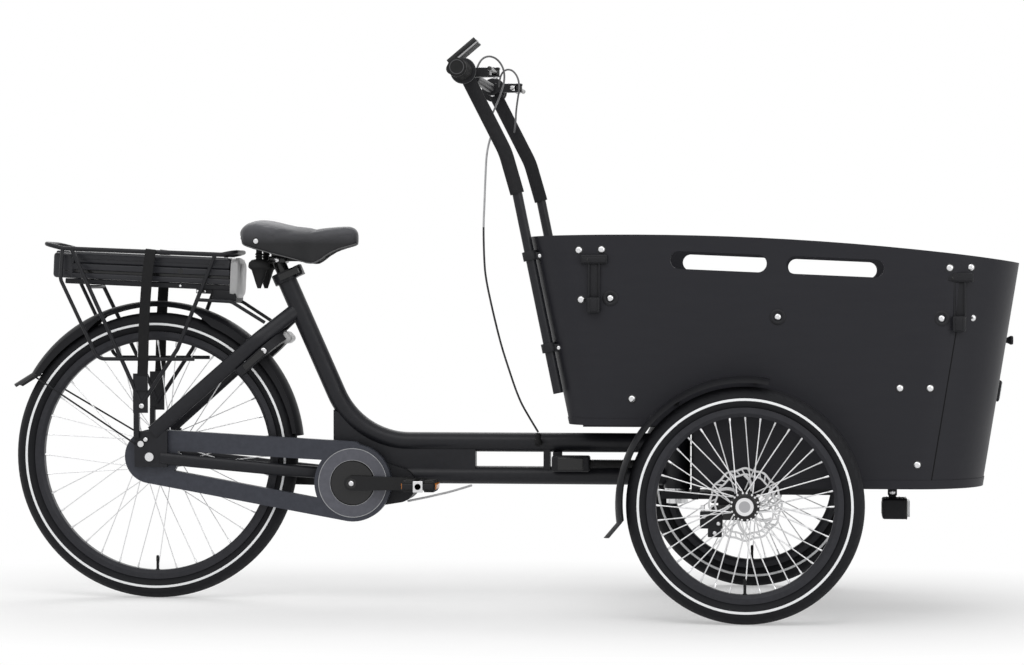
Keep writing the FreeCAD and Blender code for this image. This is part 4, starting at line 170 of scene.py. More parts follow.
# %% A surface with grain
class Surface:
    """A node material with a Principled surface and short calls for its texture nodes."""

    def __init__(self, name, rough=0.5, metal=0.0, **sockets):
        self.material = bpy.data.materials.new(name)
        self.material.use_nodes = True
        self.tree = self.material.node_tree
        self.surface = self.tree.nodes["Principled BSDF"]
        self.coords = self.tree.nodes.new("ShaderNodeTexCoord").outputs["Object"]
        self.surface.inputs["Roughness"].default_value = rough
        self.surface.inputs["Metallic"].default_value = metal
        for socket, value in sockets.items():
            title = socket.replace("_", " ").title().replace("Ior", "IOR")
            self.surface.inputs[title].default_value = value

    def link(self, source, target):
        self.tree.links.new(source, target)

    def stretched(self, kind, scale, stretch):
        mapping = self.tree.nodes.new("ShaderNodeMapping")
        mapping.inputs["Scale"].default_value = stretch
        self.link(self.coords, mapping.inputs["Vector"])
        node = self.tree.nodes.new(kind)
        node.inputs["Scale"].default_value = scale
        self.link(mapping.outputs["Vector"], node.inputs["Vector"])
        return node

    def noise(self, scale, detail=2.0, rough=0.5, stretch=(1, 1, 1)):
        node = self.stretched("ShaderNodeTexNoise", scale, stretch)
        node.inputs["Detail"].default_value = detail
        node.inputs["Roughness"].default_value = rough
        return node.outputs["Fac"]

    def cells(self, scale, stretch=(1, 1, 1)):
        return self.stretched("ShaderNodeTexVoronoi", scale, stretch).outputs["Distance"]

    def ramp(self, source, low, high, start=0.3, end=0.7):
        node = self.tree.nodes.new("ShaderNodeValToRGB")
        first, last = node.color_ramp.elements
        first.position, last.position = start, end
        first.color, last.color = (*low, 1), (*high, 1)
        self.link(source, node.inputs["Fac"])
        return node.outputs["Color"]

    def spread(self, source, low, high, first=0.0, last=1.0):
        node = self.tree.nodes.new("ShaderNodeMapRange")
        node.inputs["From Min"].default_value = first
        node.inputs["From Max"].default_value = last
        node.inputs["To Min"].default_value = low
        node.inputs["To Max"].default_value = high
        self.link(source, node.inputs["Value"])
        return node.outputs["Result"]

    def math(self, how, *values):
        node = self.tree.nodes.new("ShaderNodeMath")
        node.operation = how
        for socket, value in zip(node.inputs, values):
            if isinstance(value, (int, float)):
                socket.default_value = value
            else:
                self.link(value, socket)
        return node.outputs["Value"]

    def length(self, first, second):
        """The distance that two offsets at right angles make."""
        squares = [self.math("MULTIPLY", offset, offset) for offset in (first, second)]
        return self.math("SQRT", self.math("ADD", *squares))

    def mix(self, factor, first, second):
        node = self.tree.nodes.new("ShaderNodeMix")
        node.data_type = "RGBA"
        sockets = [node.inputs["Factor"], node.inputs[6], node.inputs[7]]
        for socket, value in zip(sockets, (factor, first, second)):
            if isinstance(value, tuple):
                socket.default_value = (*value, 1)
            else:
                self.link(value, socket)
        return node.outputs[2]

    def axes(self):
        split = self.tree.nodes.new("ShaderNodeSeparateXYZ")
        self.link(self.coords, split.inputs["Vector"])
        return [split.outputs[axis] for axis in "XYZ"]

    def colour(self, source):
        self.link(source, self.surface.inputs["Base Color"])

    def rough(self, source):
        self.link(source, self.surface.inputs["Roughness"])

    def bump(self, source, strength, distance):
        node = self.tree.nodes.new("ShaderNodeBump")
        node.inputs["Strength"].default_value = strength
        node.inputs["Distance"].default_value = distance
        self.link(source, node.inputs["Height"])
        self.link(node.outputs["Normal"], self.surface.inputs["Normal"])


print("surface helper ready")


# %% Coated and brushed finishes
def coated(name, shade, rough, grain=900, bump=0.12, lift=0.12, metal=0.0, gloss=0.25, **sockets):
    """Paint, plastic or rubber: mottle, uneven gloss, raised grain. Gloss is its mirror share."""
    made = Surface(name, rough, metal, specular_ior_level=gloss, **sockets)
    low = tuple(c * (1 - lift) for c in shade)
    high = tuple(min(c * (1 + lift), 1) for c in shade)
    made.colour(made.ramp(made.noise(90, 4, 0.6), low, high))
    made.rough(made.spread(made.noise(60, 3), rough - 0.06, rough + 0.06))
    made.bump(made.noise(grain, 2), bump, 0.0004)
    return made.material


def brushed(name, shade, rough, stretch=(30, 1, 30)):
    """Bright metal with fine lines along one axis."""
    made = Surface(name, rough, 1.0)
    lines = made.noise(60, 3, 0.6, stretch)
    made.colour(made.ramp(lines, tuple(c * 0.8 for c in shade), shade))
    made.rough(made.spread(lines, rough - 0.08, rough + 0.1))
    made.bump(lines, 0.08, 0.0002)
    return made.material


satin_black = coated("satin_black_paint", (0.0123, 0.0126, 0.0156), 0.4, 1100, 0.16)
rack_black = coated("rack_black_paint", (0.0112, 0.0114, 0.0138), 0.38, 900, 0.12)
grained_plastic = coated("grained_plastic", (0.0122, 0.0124, 0.0145), 0.5, 1500, 0.22, gloss=0.22)
guard_plastic = coated("mudguard_plastic", (0.0078, 0.008, 0.0098), 0.46, 1300, 0.1, gloss=0.2)
slate_plastic = coated("slate_plastic", (0.039, 0.042, 0.054), 0.42, 1600, 0.18, gloss=0.28)
smoke_plastic = coated("smoke_plastic", (0.087, 0.089, 0.107), 0.3, 500, 0.06, gloss=0.4)
crank_black = coated("crank_black", (0.0088, 0.0089, 0.0098), 0.4, 700, 0.08, gloss=0.25)
gloss_black = coated("gloss_black", (0.0095, 0.0095, 0.01), 0.22, 500, 0.05, gloss=0.4)
foam_black = coated("foam_black", (0.0205, 0.0206, 0.0222), 0.8, 700, 0.5, gloss=0.1)
rubber = coated("black_rubber", (0.014, 0.014, 0.0145), 0.68, 1800, 0.35, gloss=0.18)
pale_cap = coated("pale_cap_plastic", (0.36, 0.36, 0.362), 0.3, 1500, 0.04, 0.03, gloss=0.45)
amber = coated(
    "amber_reflector", (0.75, 0.24, 0.02), 0.16, 300, 0.4, gloss=0.5, transmission_weight=0.2
)
white_reflector = coated("white_reflector", (0.78, 0.79, 0.8), 0.2, 320, 0.5, 0.05, gloss=0.5)
steel = brushed("bright_steel", (0.78, 0.78, 0.79), 0.27)
spoke_metal = brushed("spoke_steel", (0.84, 0.84, 0.85), 0.32, (4, 4, 4))
oiled_steel = brushed("oiled_steel", (0.30, 0.29, 0.27), 0.38)
rotor_metal = brushed("rotor_steel", (0.66, 0.66, 0.67), 0.32, (12, 2, 12))
print("finishes", len(bpy.data.materials))

# %% [markdown]
# ## Floor
# The ground is a wide flat sheet, pale and a little mottled so that it takes a soft shadow under
# the wheels. A curved backdrop is the usual way to hide the horizon. A simpler way is used: away
# from the tricycle the sheet fades into plain white for the rays that only look at it.

# %% Floor
SHADOW_START, SHADOW_END = 0.95, 1.7
SHADOW_SHAPE = (0.8, 1.7, 1)
SHADOW_VEIL = 0.35
FLOOR_HALF = 30
ground = Surface("studio_floor", 0.8, specular_ior_level=0.1)
ground.colour(ground.ramp(ground.noise(5, 3), (0.93, 0.93, 0.93), (0.95, 0.95, 0.95)))
ground.bump(ground.noise(400, 2), 0.05, 0.0004)
oval = ground.tree.nodes.new("ShaderNodeMapping")
oval.inputs["Scale"].default_value = SHADOW_SHAPE
ground.link(ground.coords, oval.inputs["Vector"])
reach = ground.tree.nodes.new("ShaderNodeVectorMath")
reach.operation = "LENGTH"
ground.link(oval.outputs["Vector"], reach.inputs[0])
fade = ground.spread(reach.outputs["Value"], SHADOW_VEIL, 1.0, SHADOW_START, SHADOW_END)
white = ground.tree.nodes.new("ShaderNodeEmission")
white.inputs["Strength"].default_value = 1.0
joined_floor = ground.tree.nodes.new("ShaderNodeMixShader")
ground.link(ground.math("MULTIPLY", fade, background_rays(ground.tree)), joined_floor.inputs[0])
ground.link(ground.surface.outputs["BSDF"], joined_floor.inputs[1])
ground.link(white.outputs["Emission"], joined_floor.inputs[2])
ground.link(joined_floor.outputs["Shader"], ground.tree.nodes["Material Output"].inputs["Surface"])
floor_mesh = bpy.data.meshes.new("floor")
floor_corners = [
    (x * FLOOR_HALF, y * FLOOR_HALF, 0) for x, y in ((-1, -1), (1, -1), (1, 1), (-1, 1))
]
floor_mesh.from_pydata(floor_corners, [], [(0, 1, 2, 3)])
floor_mesh.materials.append(ground.material)
new_object("floor", floor_mesh)
print("floor fades from", SHADOW_START, "to", SHADOW_END, "over an oval of", SHADOW_SHAPE)

# %% [markdown]
# ## Cables
# Two brake cables arch from the lever clamps into the foam sleeves, and a thin lead comes out
# under the motor. A row of straight cylinders would look like bent wire. A NURBS curve only needs
# the few points of the route and bends softly between them. Its round section is the curve's own
# bevel.

# %% Cables
cable_grey = coated("cable_grey", (0.42, 0.42, 0.43), 0.4, 1400, 0.1, gloss=0.4)
cable_smoke = coated("cable_smoke", (0.12, 0.12, 0.124), 0.42, 1400, 0.1, gloss=0.35)
cable_black = coated("cable_black", (0.035, 0.035, 0.037), 0.45, 1400, 0.12, gloss=0.3)


def route_curve(name, points, radius):
    """A smooth curve steered by the route's points: round with a radius, a bare line without."""
    data = bpy.data.curves.new(name, "CURVE")
    data.dimensions = "3D"
    data.bevel_depth = radius / 1000
    data.bevel_resolution = 4
    data.resolution_u = 16
    data.use_fill_caps = True
    spline = data.splines.new("NURBS")
    spline.points.add(len(points) - 1)
    for point, place in zip(spline.points, points):
        point.co = (*at(*place), 1)
    spline.order_u = 3
    spline.use_endpoint_u = True
    print(name, "length", round(spline.calc_length() * 1000), "mm")
    return new_object(name, data)


def cable(name, body, points, radius, material, replaced):
    piece = route_curve(name, points, radius)
    piece.data.materials.append(material)
    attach(piece, body)
    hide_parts(replaced)


BRAKE_ROUTE = (
    (768, 233.5, 1189.4), (772, 215, 1213), (788, 195, 1228.5), (808, 178, 1224), (822, 165, 1203),
    (824, 160, 1177.5), (818, 172, 1150), (812, 200, 1125), (808, 235, 1105), (802, 261.8, 1083.7),
)
for side, word in SIDES:
    route = [(x, side * y, z) for x, y, z in BRAKE_ROUTE]
    cable(
        f"brake_cable_{word}", "front", route, 2.2, cable_smoke,
        "brake_cables",
    )
MOTOR_ROUTE = (
    (734.4, -24, 266), (690, -26, 252), (655, -29, 244), (625, -32, 237), (588, -35, 229.6),
)
cable(
    "motor_lead", "frame", MOTOR_ROUTE, 2.5, cable_grey,
    "frame_cables",
)

# %% [markdown]
# ## Finishes of the solid parts
# Tubes, mudguards, hubs and panels already have the right shape in the solid model, so they only
# take a material. One table from finish to part names is easier to check than a material set on
# each part.

# %% Finishes of the solid parts
FINISHES = {
    satin_black: "main_frame front_subframe handlebar seat_clamp",
    rack_black: "luggage_rack",
    grained_plastic: "ring_lock bar_controls headlight motor_unit",
    guard_plastic: "rear_mudguard front_mudguards",
    slate_plastic: "chain_case",
    smoke_plastic: "chain_case_window",
    gloss_black: "rear_hub front_hub_right front_hub_left brake_calipers seat_post chainring "
                 "seat_clamp_lever",
    crank_black: "crank_arms",
    foam_black: "bar_sleeves",
    rubber: "grips",
    steel: "rear_axle_set pivot_bearings kingpin crank_axles",
    oiled_steel: "drive_chain rear_sprocket",
    spoke_metal: "front_spokes_right front_spokes_left rear_spokes",
}


def finish_node(node, material):
    mesh = nodes[node].data
    mesh.materials.clear()
    mesh.materials.append(material)


for material, names in FINISHES.items():
    for name in names.split():
        finish_node(name, material)
print("finished parts", sum(len(names.split()) for names in FINISHES.values()))

# %% [markdown]
# ## Mesh building
# Most small parts are turned, swept along a line, or cut from a block with rounded edges.
# Blender's own cubes and cylinders have hard edges that catch no light. A builder class keeps one
# mesh open and adds such shapes to it, and closes it as one piece that rides on a body of the
# solid model.


# %% Turned, swept and rounded shapes
def full_turn(steps):
    """Angles evenly spaced round a circle."""
    return [TAU * k / steps for k in range(steps)]


class Form:
    """One mesh piece gathered from turned, swept, lofted and bevelled parts."""

    def __init__(self):
        self.mesh = bmesh.new()
        self.materials = []

    def paint(self, faces, material):
        if material not in self.materials:
            self.materials.append(material)
        for face in faces:
            face.material_index = self.materials.index(material)
            face.smooth = True

    def loft(self, rings, material, caps=True, closed=False):
        """Skins rings of equally many points, each ring closed."""
        rows = [[self.mesh.verts.new(point) for point in ring] for ring in rings]
        faces = []
        pairs = list(zip(rows, rows[1:])) + ([(rows[-1], rows[0])] if closed else [])
        for low, high in pairs:
            for k in range(len(low)):
                n = (k + 1) % len(low)
                faces.append(self.mesh.faces.new((low[k], low[n], high[n], high[k])))
        if caps and not closed:
            faces.append(self.mesh.faces.new(rows[0][::-1]))
            faces.append(self.mesh.faces.new(rows[-1]))
        self.paint(faces, material)
        return self

    def lathe(self, profile, centre, axis, material, steps=32, closed=False):
        """Turns a profile of (radius, along) in millimetres about an axis."""
        axis = Vector(axis).normalized()
        side = axis.orthogonal().normalized()
        other = axis.cross(side)
        rings = []
        for radius, along in profile:
            foot = Vector(centre) + axis * along / 1000
            reach = max(radius, 0.01) / 1000
            spokes = [side * math.cos(t) + other * math.sin(t) for t in full_turn(steps)]
            rings.append([foot + spoke * reach for spoke in spokes])
        return self.loft(rings, material, True, closed)

    def sweep(self, points, section, material, up=None):
        """Carries a section of (across, up) points in millimetres along a line."""
        points = [Vector(p) for p in points]
        before, after = points[:1] + points[:-1], points[1:] + points[-1:]
        ways = [(b - a).normalized() for a, b in zip(before, after)]
        side = Vector(up).cross(ways[0]) if up else ways[0].orthogonal()
        rings = []
        for point, way in zip(points, ways):
            side = (side - way * side.dot(way)).normalized()
            other = way.cross(side)
            rings.append([point + (side * a + other * b) / 1000 for a, b in section])
        return self.loft(rings, material)

    def tube(self, points, radius, material, sides=12):
        section = [(radius * math.cos(t), radius * math.sin(t)) for t in full_turn(sides)]
        return self.sweep(points, section, material)

    def block(self, centre, size, material, bevel=2.0, turn=None, steps=3):
        """A box with rounded edges: size and bevel in millimetres."""
        known = set(self.mesh.faces)
        made = bmesh.ops.create_cube(self.mesh, size=1.0)
        scale = Matrix.Diagonal((size[0] / 1000, size[1] / 1000, size[2] / 1000, 1))
        turn = turn.to_4x4() if turn else Matrix.Identity(4)
        place = Matrix.Translation(centre) @ turn @ scale
        bmesh.ops.transform(self.mesh, matrix=place, verts=made["verts"])
        edges = list({edge for vert in made["verts"] for edge in vert.link_edges})
        bmesh.ops.bevel(
            self.mesh, geom=edges, offset=bevel / 1000, segments=steps, profile=0.5,
            affect="EDGES", clamp_overlap=True,
        )
        self.paint([face for face in self.mesh.faces if face not in known], material)
        return self

    def close(self, name, angle=38):
        """Makes one object of all parts, with edges sharper than the angle kept crisp."""
        bmesh.ops.recalc_face_normals(self.mesh, faces=self.mesh.faces)
        data = bpy.data.meshes.new(name)
        self.mesh.to_mesh(data)
        self.mesh.free()
        for material in self.materials:
            data.materials.append(material)
        data.set_sharp_from_angle(angle=math.radians(angle))
        print(name, len(data.polygons), "faces")
        return new_object(name, data)

    def done(self, name, body, replaced=()):
        piece = self.close(name)
        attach(piece, body)
        if replaced:
            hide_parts(*replaced)
        return piece


# %% [markdown]
# ## Lines and screw heads
# Seams, straps and rails are drawn through a few points and must not kink there, so a spline
# fills in between them. A screw head is a turned dome with a socket. It is one profile that is
# scaled to every screw, because a bought screw is the same shape in each size.


# %% Lines and screw heads
def smooth_line(points, steps=8):
    """A dense line through the given points with no sharp turn."""
    points = [Vector(p) for p in points]
    padded = [points[0] * 2 - points[1]] + points + [points[-1] * 2 - points[-2]]
    line = []
    for a, b, c, d in zip(padded, padded[1:], padded[2:], padded[3:]):
        for k in range(steps):
            t = k / steps
            bend = (2 * a - 5 * b + 4 * c - d) * t**2 + (3 * b - a - 3 * c + d) * t**3
            line.append(0.5 * (2 * b + (c - a) * t + bend))
    return line + [points[-1]]


SOCKET_HEAD = (
    (1.0, 0), (1.0, 0.22), (0.86, 0.44), (0.6, 0.56), (0.36, 0.6), (0.32, 0.4), (0.05, 0.38),
)


def screw(form, place, axis, radius, material, steps=20):
    """A domed head with a socket, its foot on the surface."""
    form.lathe([(r * radius, h * radius) for r, h in SOCKET_HEAD], place, axis, material, steps)


print("line and screw helpers ready")

# %% [markdown]
# ## Hanging cable
# The longest cable hangs from the right sleeve and enters a gland on the frame, so it bends when
# the front turns. A curve follows one body only. Here the route's curve gives the middle line of
# a mesh tube, grey above the bare height and black below. The tube is baked in place and is not
# tied to the frame or the handlebar.

# %% Hanging cable
CONTROL_ROUTE = (
    (806.3, -265.4, 1050.5), (795, -257.6, 1022.6), (790, -243, 959), (786, -228, 895),
    (782.4, -216, 850), (782, -198, 780), (784, -187, 737.7), (797, -165, 666),
    (812, -140, 593.5), (824, -122, 548.4), (847.4, -86, 466.5), (868, -64, 425),
    (887.2, -42, 389.3),
)
CONTROL_RADIUS, CONTROL_SIDES = 2.3, 16
BARE_HEIGHT = 851
bare_line = route_curve("control_route", CONTROL_ROUTE, 0)
control_path = [vert.co.copy() for vert in bpy.data.meshes.new_from_object(bare_line).vertices]
bpy.data.objects.remove(bare_line)
bare_end = next(k for k, place in enumerate(control_path) if place.z < BARE_HEIGHT / 1000)
strand = Form()
strand.tube(control_path[:bare_end + 1], CONTROL_RADIUS, cable_grey, CONTROL_SIDES)
strand.tube(control_path[bare_end:], CONTROL_RADIUS, cable_black, CONTROL_SIDES)
hanging = strand.close("control_cable_hanging")
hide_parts("control_cable")
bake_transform(hanging)

# %% [markdown]
# ## Tyres
# The tyres have a blocked tread, ringed side walls and a pale reflective line. The line is real
# geometry, because it shows in every view. The tread is a bump worked out from the angle around
# the axle, which costs nothing and stays sharp, while cutting each block would add thousands of
# faces.

# %% Tyre rubber
GROOVE_SLANT, RIB_COUNT, WALL_RINGS, TREAD_DEPTH = 420.0, 780.0, 2600.0, 0.013


def tyre_rubber(name, centre, radius, blocks):
    """Rubber with blocks on the tread and fine rings on the side wall, about the wheel's axle."""
    made = Surface(name, 0.66, specular_ior_level=0.2)
    x, y, z = made.axes()
    ahead = made.math("SUBTRACT", x, centre.x)
    across = made.math("ABSOLUTE", made.math("SUBTRACT", y, centre.y))
    rise = made.math("SUBTRACT", z, centre.z)
    out = made.length(ahead, rise)
    turn = made.math("MULTIPLY", made.math("ARCTAN2", rise, ahead), blocks)
    wave = made.math("ADD", turn, made.math("MULTIPLY", across, GROOVE_SLANT))
    grooves = made.math("GREATER_THAN", made.math("SINE", wave), -0.62)
    ribs = made.math("SINE", made.math("MULTIPLY", across, RIB_COUNT))
    ribs = made.math("GREATER_THAN", ribs, -0.7)
    tread = made.math("GREATER_THAN", out, radius - TREAD_DEPTH)
    height = made.math("MULTIPLY", tread, made.math("MULTIPLY", grooves, ribs))
    rings = made.math("SINE", made.math("MULTIPLY", out, WALL_RINGS))
    height = made.math("ADD", height, made.math("MULTIPLY", rings, 0.05))
    grain = made.math("MULTIPLY", made.noise(1500, 2), 0.12)
    made.bump(made.math("ADD", height, grain), 0.7, 0.0016)
    # Grooves and side wall take the darker colour, the tread blocks a lighter mottled one. In the
    # grooves, which are only a bump, the darker colour is painted shade.
    tread_block_tone = made.ramp(made.noise(80, 4, 0.6), (0.0098, 0.01, 0.012), (0.0128, 0.013, 0.0152))
    made.colour(made.mix(height, (0.0082, 0.0084, 0.0102), tread_block_tone))
    made.rough(made.spread(made.noise(60, 3), 0.58, 0.74))
    return made.material


line_white = Surface("reflective_line", 0.34)
beads = line_white.cells(2600)
line_white.colour(line_white.ramp(beads, (0.74, 0.75, 0.76), (0.88, 0.89, 0.9), 0.1, 0.5))
line_white.bump(beads, 0.2, 0.0002)
rim_black = coated("rim_black", (0.026, 0.0263, 0.031), 0.38, 300, 0.05, metal=0.2)
print("tyre and rim finishes ready")

# %% [markdown]
# ## Wheel details
# Each wheel has 36 spokes with a bright nipple at the rim and a round head at the hub, a valve,
# and collars on the hub. The ends of the spokes follow the same rule as the solid spokes, so a
# loop can put a nipple on each one instead of placing them by eye.

# %% Wheel details
SPOKES = 36
RIM_DEPTH = 14
LINE_DROP = 26.7
LINE_PROFILE = ((-2.7, 24.7), (-2.5, 25.25), (0, 25.4), (2.5, 25.25), (2.7, 24.7))
VALVE_STEM = (
    (5, -0.3), (5, 1.5), (3.2, 2), (3.2, 20), (3.6, 20.5), (3.6, 30), (2.6, 33), (1, 33.5),
)


def spoke_ends(flange, offset, bead, slant):
    """Start and end of every spoke, relative to the wheel's centre, in millimetres."""
    tip = bead - RIM_DEPTH - 0.3
    for k in range(SPOKES):
        side = 1 if k % 2 else -1
        lead = 1 if k // 2 % 2 else -1
        at_rim = TAU * k / SPOKES
        at_hub = at_rim + lead * math.radians(slant)
        across = side * (offset + 1.5 + lead * 2.2)
        start = Vector((flange * math.cos(at_hub), across, flange * math.sin(at_hub)))
        yield start, Vector((tip * math.cos(at_rim), side * 4, tip * math.sin(at_rim)))


def dress_wheel(
    place, word, body, centre, radius, bead, blocks, flange, offset, slant, spoke_radius, collars
):
    """Adds what the solid wheel leaves out: line, nipples, spoke heads, hub collars and valve."""
    finish_node(f"{place}_tyre{word}", tyre_rubber(f"{body}_tread", centre, radius / 1000, blocks))
    finish_node(f"{place}_rim{word}", rim_black)
    band = Form()
    for side in (1, -1):
        turned = [(radius - LINE_DROP + r, a * side) for r, a in LINE_PROFILE]
        band.lathe(turned, centre, (0, 1, 0), line_white.material, 128, True)
    band.done(f"{body}_stripes", body)
    ends = Form()
    nipple = [(1.2, 0), (2.3, 0.4), (2.3, 7), (1.9, 8), (1.9, 12), (spoke_radius, 12.6)]
    for start, end in spoke_ends(flange, offset, bead, slant):
        ends.lathe(nipple, centre + end / 1000, start - end, steel, 8)
        out = math.copysign(abs(offset) + 4.8, start.y)
        head = centre + Vector((start.x * 0.93, out, start.z * 0.93)) / 1000
        ends.lathe([(2.4, 0), (2.2, 0.9), (1.2, 1.4)], head, (0, out, 0), steel, 8)
    ends.done(f"{body}_nipples", body)
    valve = Form()
    valve_foot = centre - Vector((0, 0, (bead - RIM_DEPTH) / 1000))
    valve.lathe(VALVE_STEM, valve_foot, (0, 0, 1), rubber, 16)
    valve.done(f"{body}_valve", body)
    rings = Form()
    for side, out, profile in collars:
        foot = centre + Vector((0, out / 1000, 0))
        rings.lathe(profile, foot, (0, side, 0), gloss_black, 40, True)
    rings.done(f"{body}_collars", body)


# %% The three wheels
hub_ring = [
    (31.3, -1), (31.3, 1.2), (29.5, 2), (27, 1.6), (24.5, 1.6), (23, 4.5), (18.5, 5.5), (17, 5.5),
]
hub_shell = [
    (38.3, -0.8), (38.3, 1.4), (36, 2), (33, 1.6), (31, 2.4), (29, 9), (27.2, 9.5), (27.2, 8),
]
for side, word in SIDES:
    dress_wheel(
        "front", f"_{word}", f"front_wheel_{word}", at(FRONT_STATION, side * 400, FRONT_RADIUS),
        radius=FRONT_RADIUS, bead=203, blocks=64, flange=31, offset=24, slant=22, spoke_radius=1.4,
        collars=[(side, side * 27, hub_ring), (-side, -side * 27, hub_ring[:6])],
    )
dress_wheel(
    "rear", "", "rear_wheel", at(0, 0, REAR_RADIUS),
    radius=REAR_RADIUS, bead=279.5, blocks=84, flange=38, offset=28, slant=46, spoke_radius=1.1,
    collars=[(-1, -31, hub_shell), (1, 31, hub_shell)],
)

# %% [markdown]
# ## Wheel bolts
# A large bolt holds each front wheel: a bright turned rim round a greyer middle. A second part
# for the middle would be hidden inside the solid bolt, so one material tells the two apart by
# their distance from the axle.

# %% Wheel bolts
BOLT_MIDDLE, BOLT_EDGE = 0.0122, 0.0004
bolt = Surface("wheel_bolt_steel", 0.32, 1.0)
x, _, z = bolt.axes()
axle = at(FRONT_STATION, 0, FRONT_RADIUS)
out = bolt.length(bolt.math("SUBTRACT", x, axle.x), bolt.math("SUBTRACT", z, axle.z))
rim = bolt.spread(out, 0.0, 1.0, BOLT_MIDDLE - BOLT_EDGE, BOLT_MIDDLE + BOLT_EDGE)
turned_lines = bolt.noise(700, 2, 0.5, (1, 0.05, 1))
bright = bolt.ramp(turned_lines, (0.74, 0.74, 0.75), (0.82, 0.82, 0.83))
bolt.colour(bolt.mix(rim, (0.40, 0.40, 0.415), bright))
bolt.rough(bolt.spread(turned_lines, 0.26, 0.4))
bolt.bump(bolt.math("ADD", bolt.math("MULTIPLY", turned_lines, 0.1), rim), 0.4, 0.0006)
finish_node("wheel_bolts", bolt.material)
print("wheel bolts with a grey middle of", BOLT_MIDDLE * 1000, "mm")

# %% [markdown]
# ## Mudguard skirts
# The rear mudguard hugs the tyre behind and in front, and stands off it only near the top. The
# solid one has one depth all round. Two thin walls on each side make it deeper where the real one
# is, and each wall runs out to nothing towards the top.

# %% Mudguard skirts
GUARD_EDGE, GUARD_HALF, GUARD_LIFT, SKIRT_WALL, SKIRT_RUN = 331, 29, 12, 1.6, 9
SKIRT_STEPS = 30
# angle of each skirt's thin end and of its deep end
SKIRTS = ((112, 148), (74, 7))


def skirt(form, side, top, end):
    rings = []
    for k in range(SKIRT_STEPS + 1):
        angle = top + (end - top) * k / SKIRT_STEPS
        rise = math.sin(math.radians(angle))
        deep = min(abs(angle - top) / SKIRT_RUN, 1) * (GUARD_LIFT * rise + 6)
        ring = []
        low = -deep - 0.1
        for radius, across in ((1, 0), (1, SKIRT_WALL), (low, SKIRT_WALL), (low, 0)):
            out = GUARD_EDGE + radius
            ahead = out * math.cos(math.radians(angle))
            height = REAR_RADIUS + GUARD_LIFT + out * rise
            ring.append(at(ahead, side * (GUARD_HALF - across), height))
        rings.append(ring)
    form.loft(rings, guard_plastic)


skirts = Form()
for side in (-1, 1):
    for top, end in SKIRTS:
        skirt(skirts, side, top, end)
skirts.done("mudguard_skirts", "frame")

# %% [markdown]
# ## Front brakes
# Each front wheel carries a thin steel rotor with a wavy rim, leaning bars and curved arms, so
# that one sees through it. Drilling a plate would need many cuts. Here the bands are lofted with
# a radius that swings in and out, and the bars and arms are flat strips swept between them. A
# caliper sits astride each rotor.

# %% Brake rotors
ROTOR_WAVES, ROTOR_BARS, ROTOR_ARMS, BAND_STEPS, ARM_STEPS = 12, 36, 6, 144, 8
ROTOR_HALF = 0.9
# inner and outer radius of each band, and how far it swings in and out
ROTOR_BANDS = ((61.5, 65.5, 1.2), (73.6, 78, 1.8), (17, 25, 0))


def strip(width, thick):
    a, b = width / 2, thick / 2
    return [(-a, -b), (a, -b), (a, b), (-a, b)]


def rotor_plane(word):
    low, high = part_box(f"front_rotor_{word}")
    return (low[1] + high[1]) / 2


def rotor(word):
    hub = at(FRONT_STATION, 0, FRONT_RADIUS) + Vector((0, rotor_plane(word), 0))

    def spot(radius, turn, across=0.0):
        return hub + Vector((radius * math.cos(turn), across, radius * math.sin(turn))) / 1000

    form = Form()
    for inner, outer, swing in ROTOR_BANDS:
        rings = []
        for turn in full_turn(BAND_STEPS):
            wave = swing * math.cos(ROTOR_WAVES * turn)
            rings.append([
                spot(inner + wave, turn, -ROTOR_HALF), spot(outer + wave, turn, -ROTOR_HALF),
                spot(outer + wave, turn, ROTOR_HALF), spot(inner + wave, turn, ROTOR_HALF),
            ])
        form.loft(rings, rotor_metal, closed=True)
    for turn in full_turn(ROTOR_BARS):
        bar = [spot(63.5, turn), spot(75, turn + 0.1)]
        form.sweep(bar, strip(2.8, 1.7), rotor_metal, (0, 1, 0))
    shares = [j / ARM_STEPS for j in range(ARM_STEPS + 1)]
    for turn in full_turn(ROTOR_ARMS):
        arm = [spot(22 + 41 * share, turn + 0.55 * share**1.5) for share in shares]
        form.sweep(arm, strip(6.5, 1.7), rotor_metal, (0, 1, 0))
    form.done(f"rotor_{word}", f"front_wheel_{word}", [f"front_rotor_{word}"])


for word in ("right", "left"):
    rotor(word)

# %% Caliper bodies
# station, distance inward from the rotor, height and size of each block
CALIPER_BLOCKS = (
    (1289.5, -4.6, 219.2, (48, 4.4, 36)), (1289.5, 9.8, 219.2, (48, 14.8, 36)),
    (1297, -4.6, 194, (26, 4.4, 22)), (1297, 9.6, 194, (30, 14, 24)),
)
CALIPER_SCREWS = ((1274, 227), (1305, 212), (1297, 192))
calipers = Form()
for side, word in SIDES:
    plane = rotor_plane(word) * 1000
    for station, inward, height, size in CALIPER_BLOCKS:
        calipers.block(at(station, plane - side * inward, height), size, grained_plastic, 1.9)
    calipers.block(at(1271, plane - side * 13, 233), (9, 5, 34), steel, 1.5)
    for station, height in CALIPER_SCREWS:
        screw(calipers, at(station, plane + side * 6.7, height), (0, side, 0), 4.6, steel)
calipers.done("caliper_bodies", "front")

# %% [markdown]
# ## Box board
# The box is bent plywood with a black film on it: even and dull, with a faint grain that runs
# along the panels. Noise stretched along the length gives that grain. A photograph of wood would
# repeat itself and would show brown where the film is black.

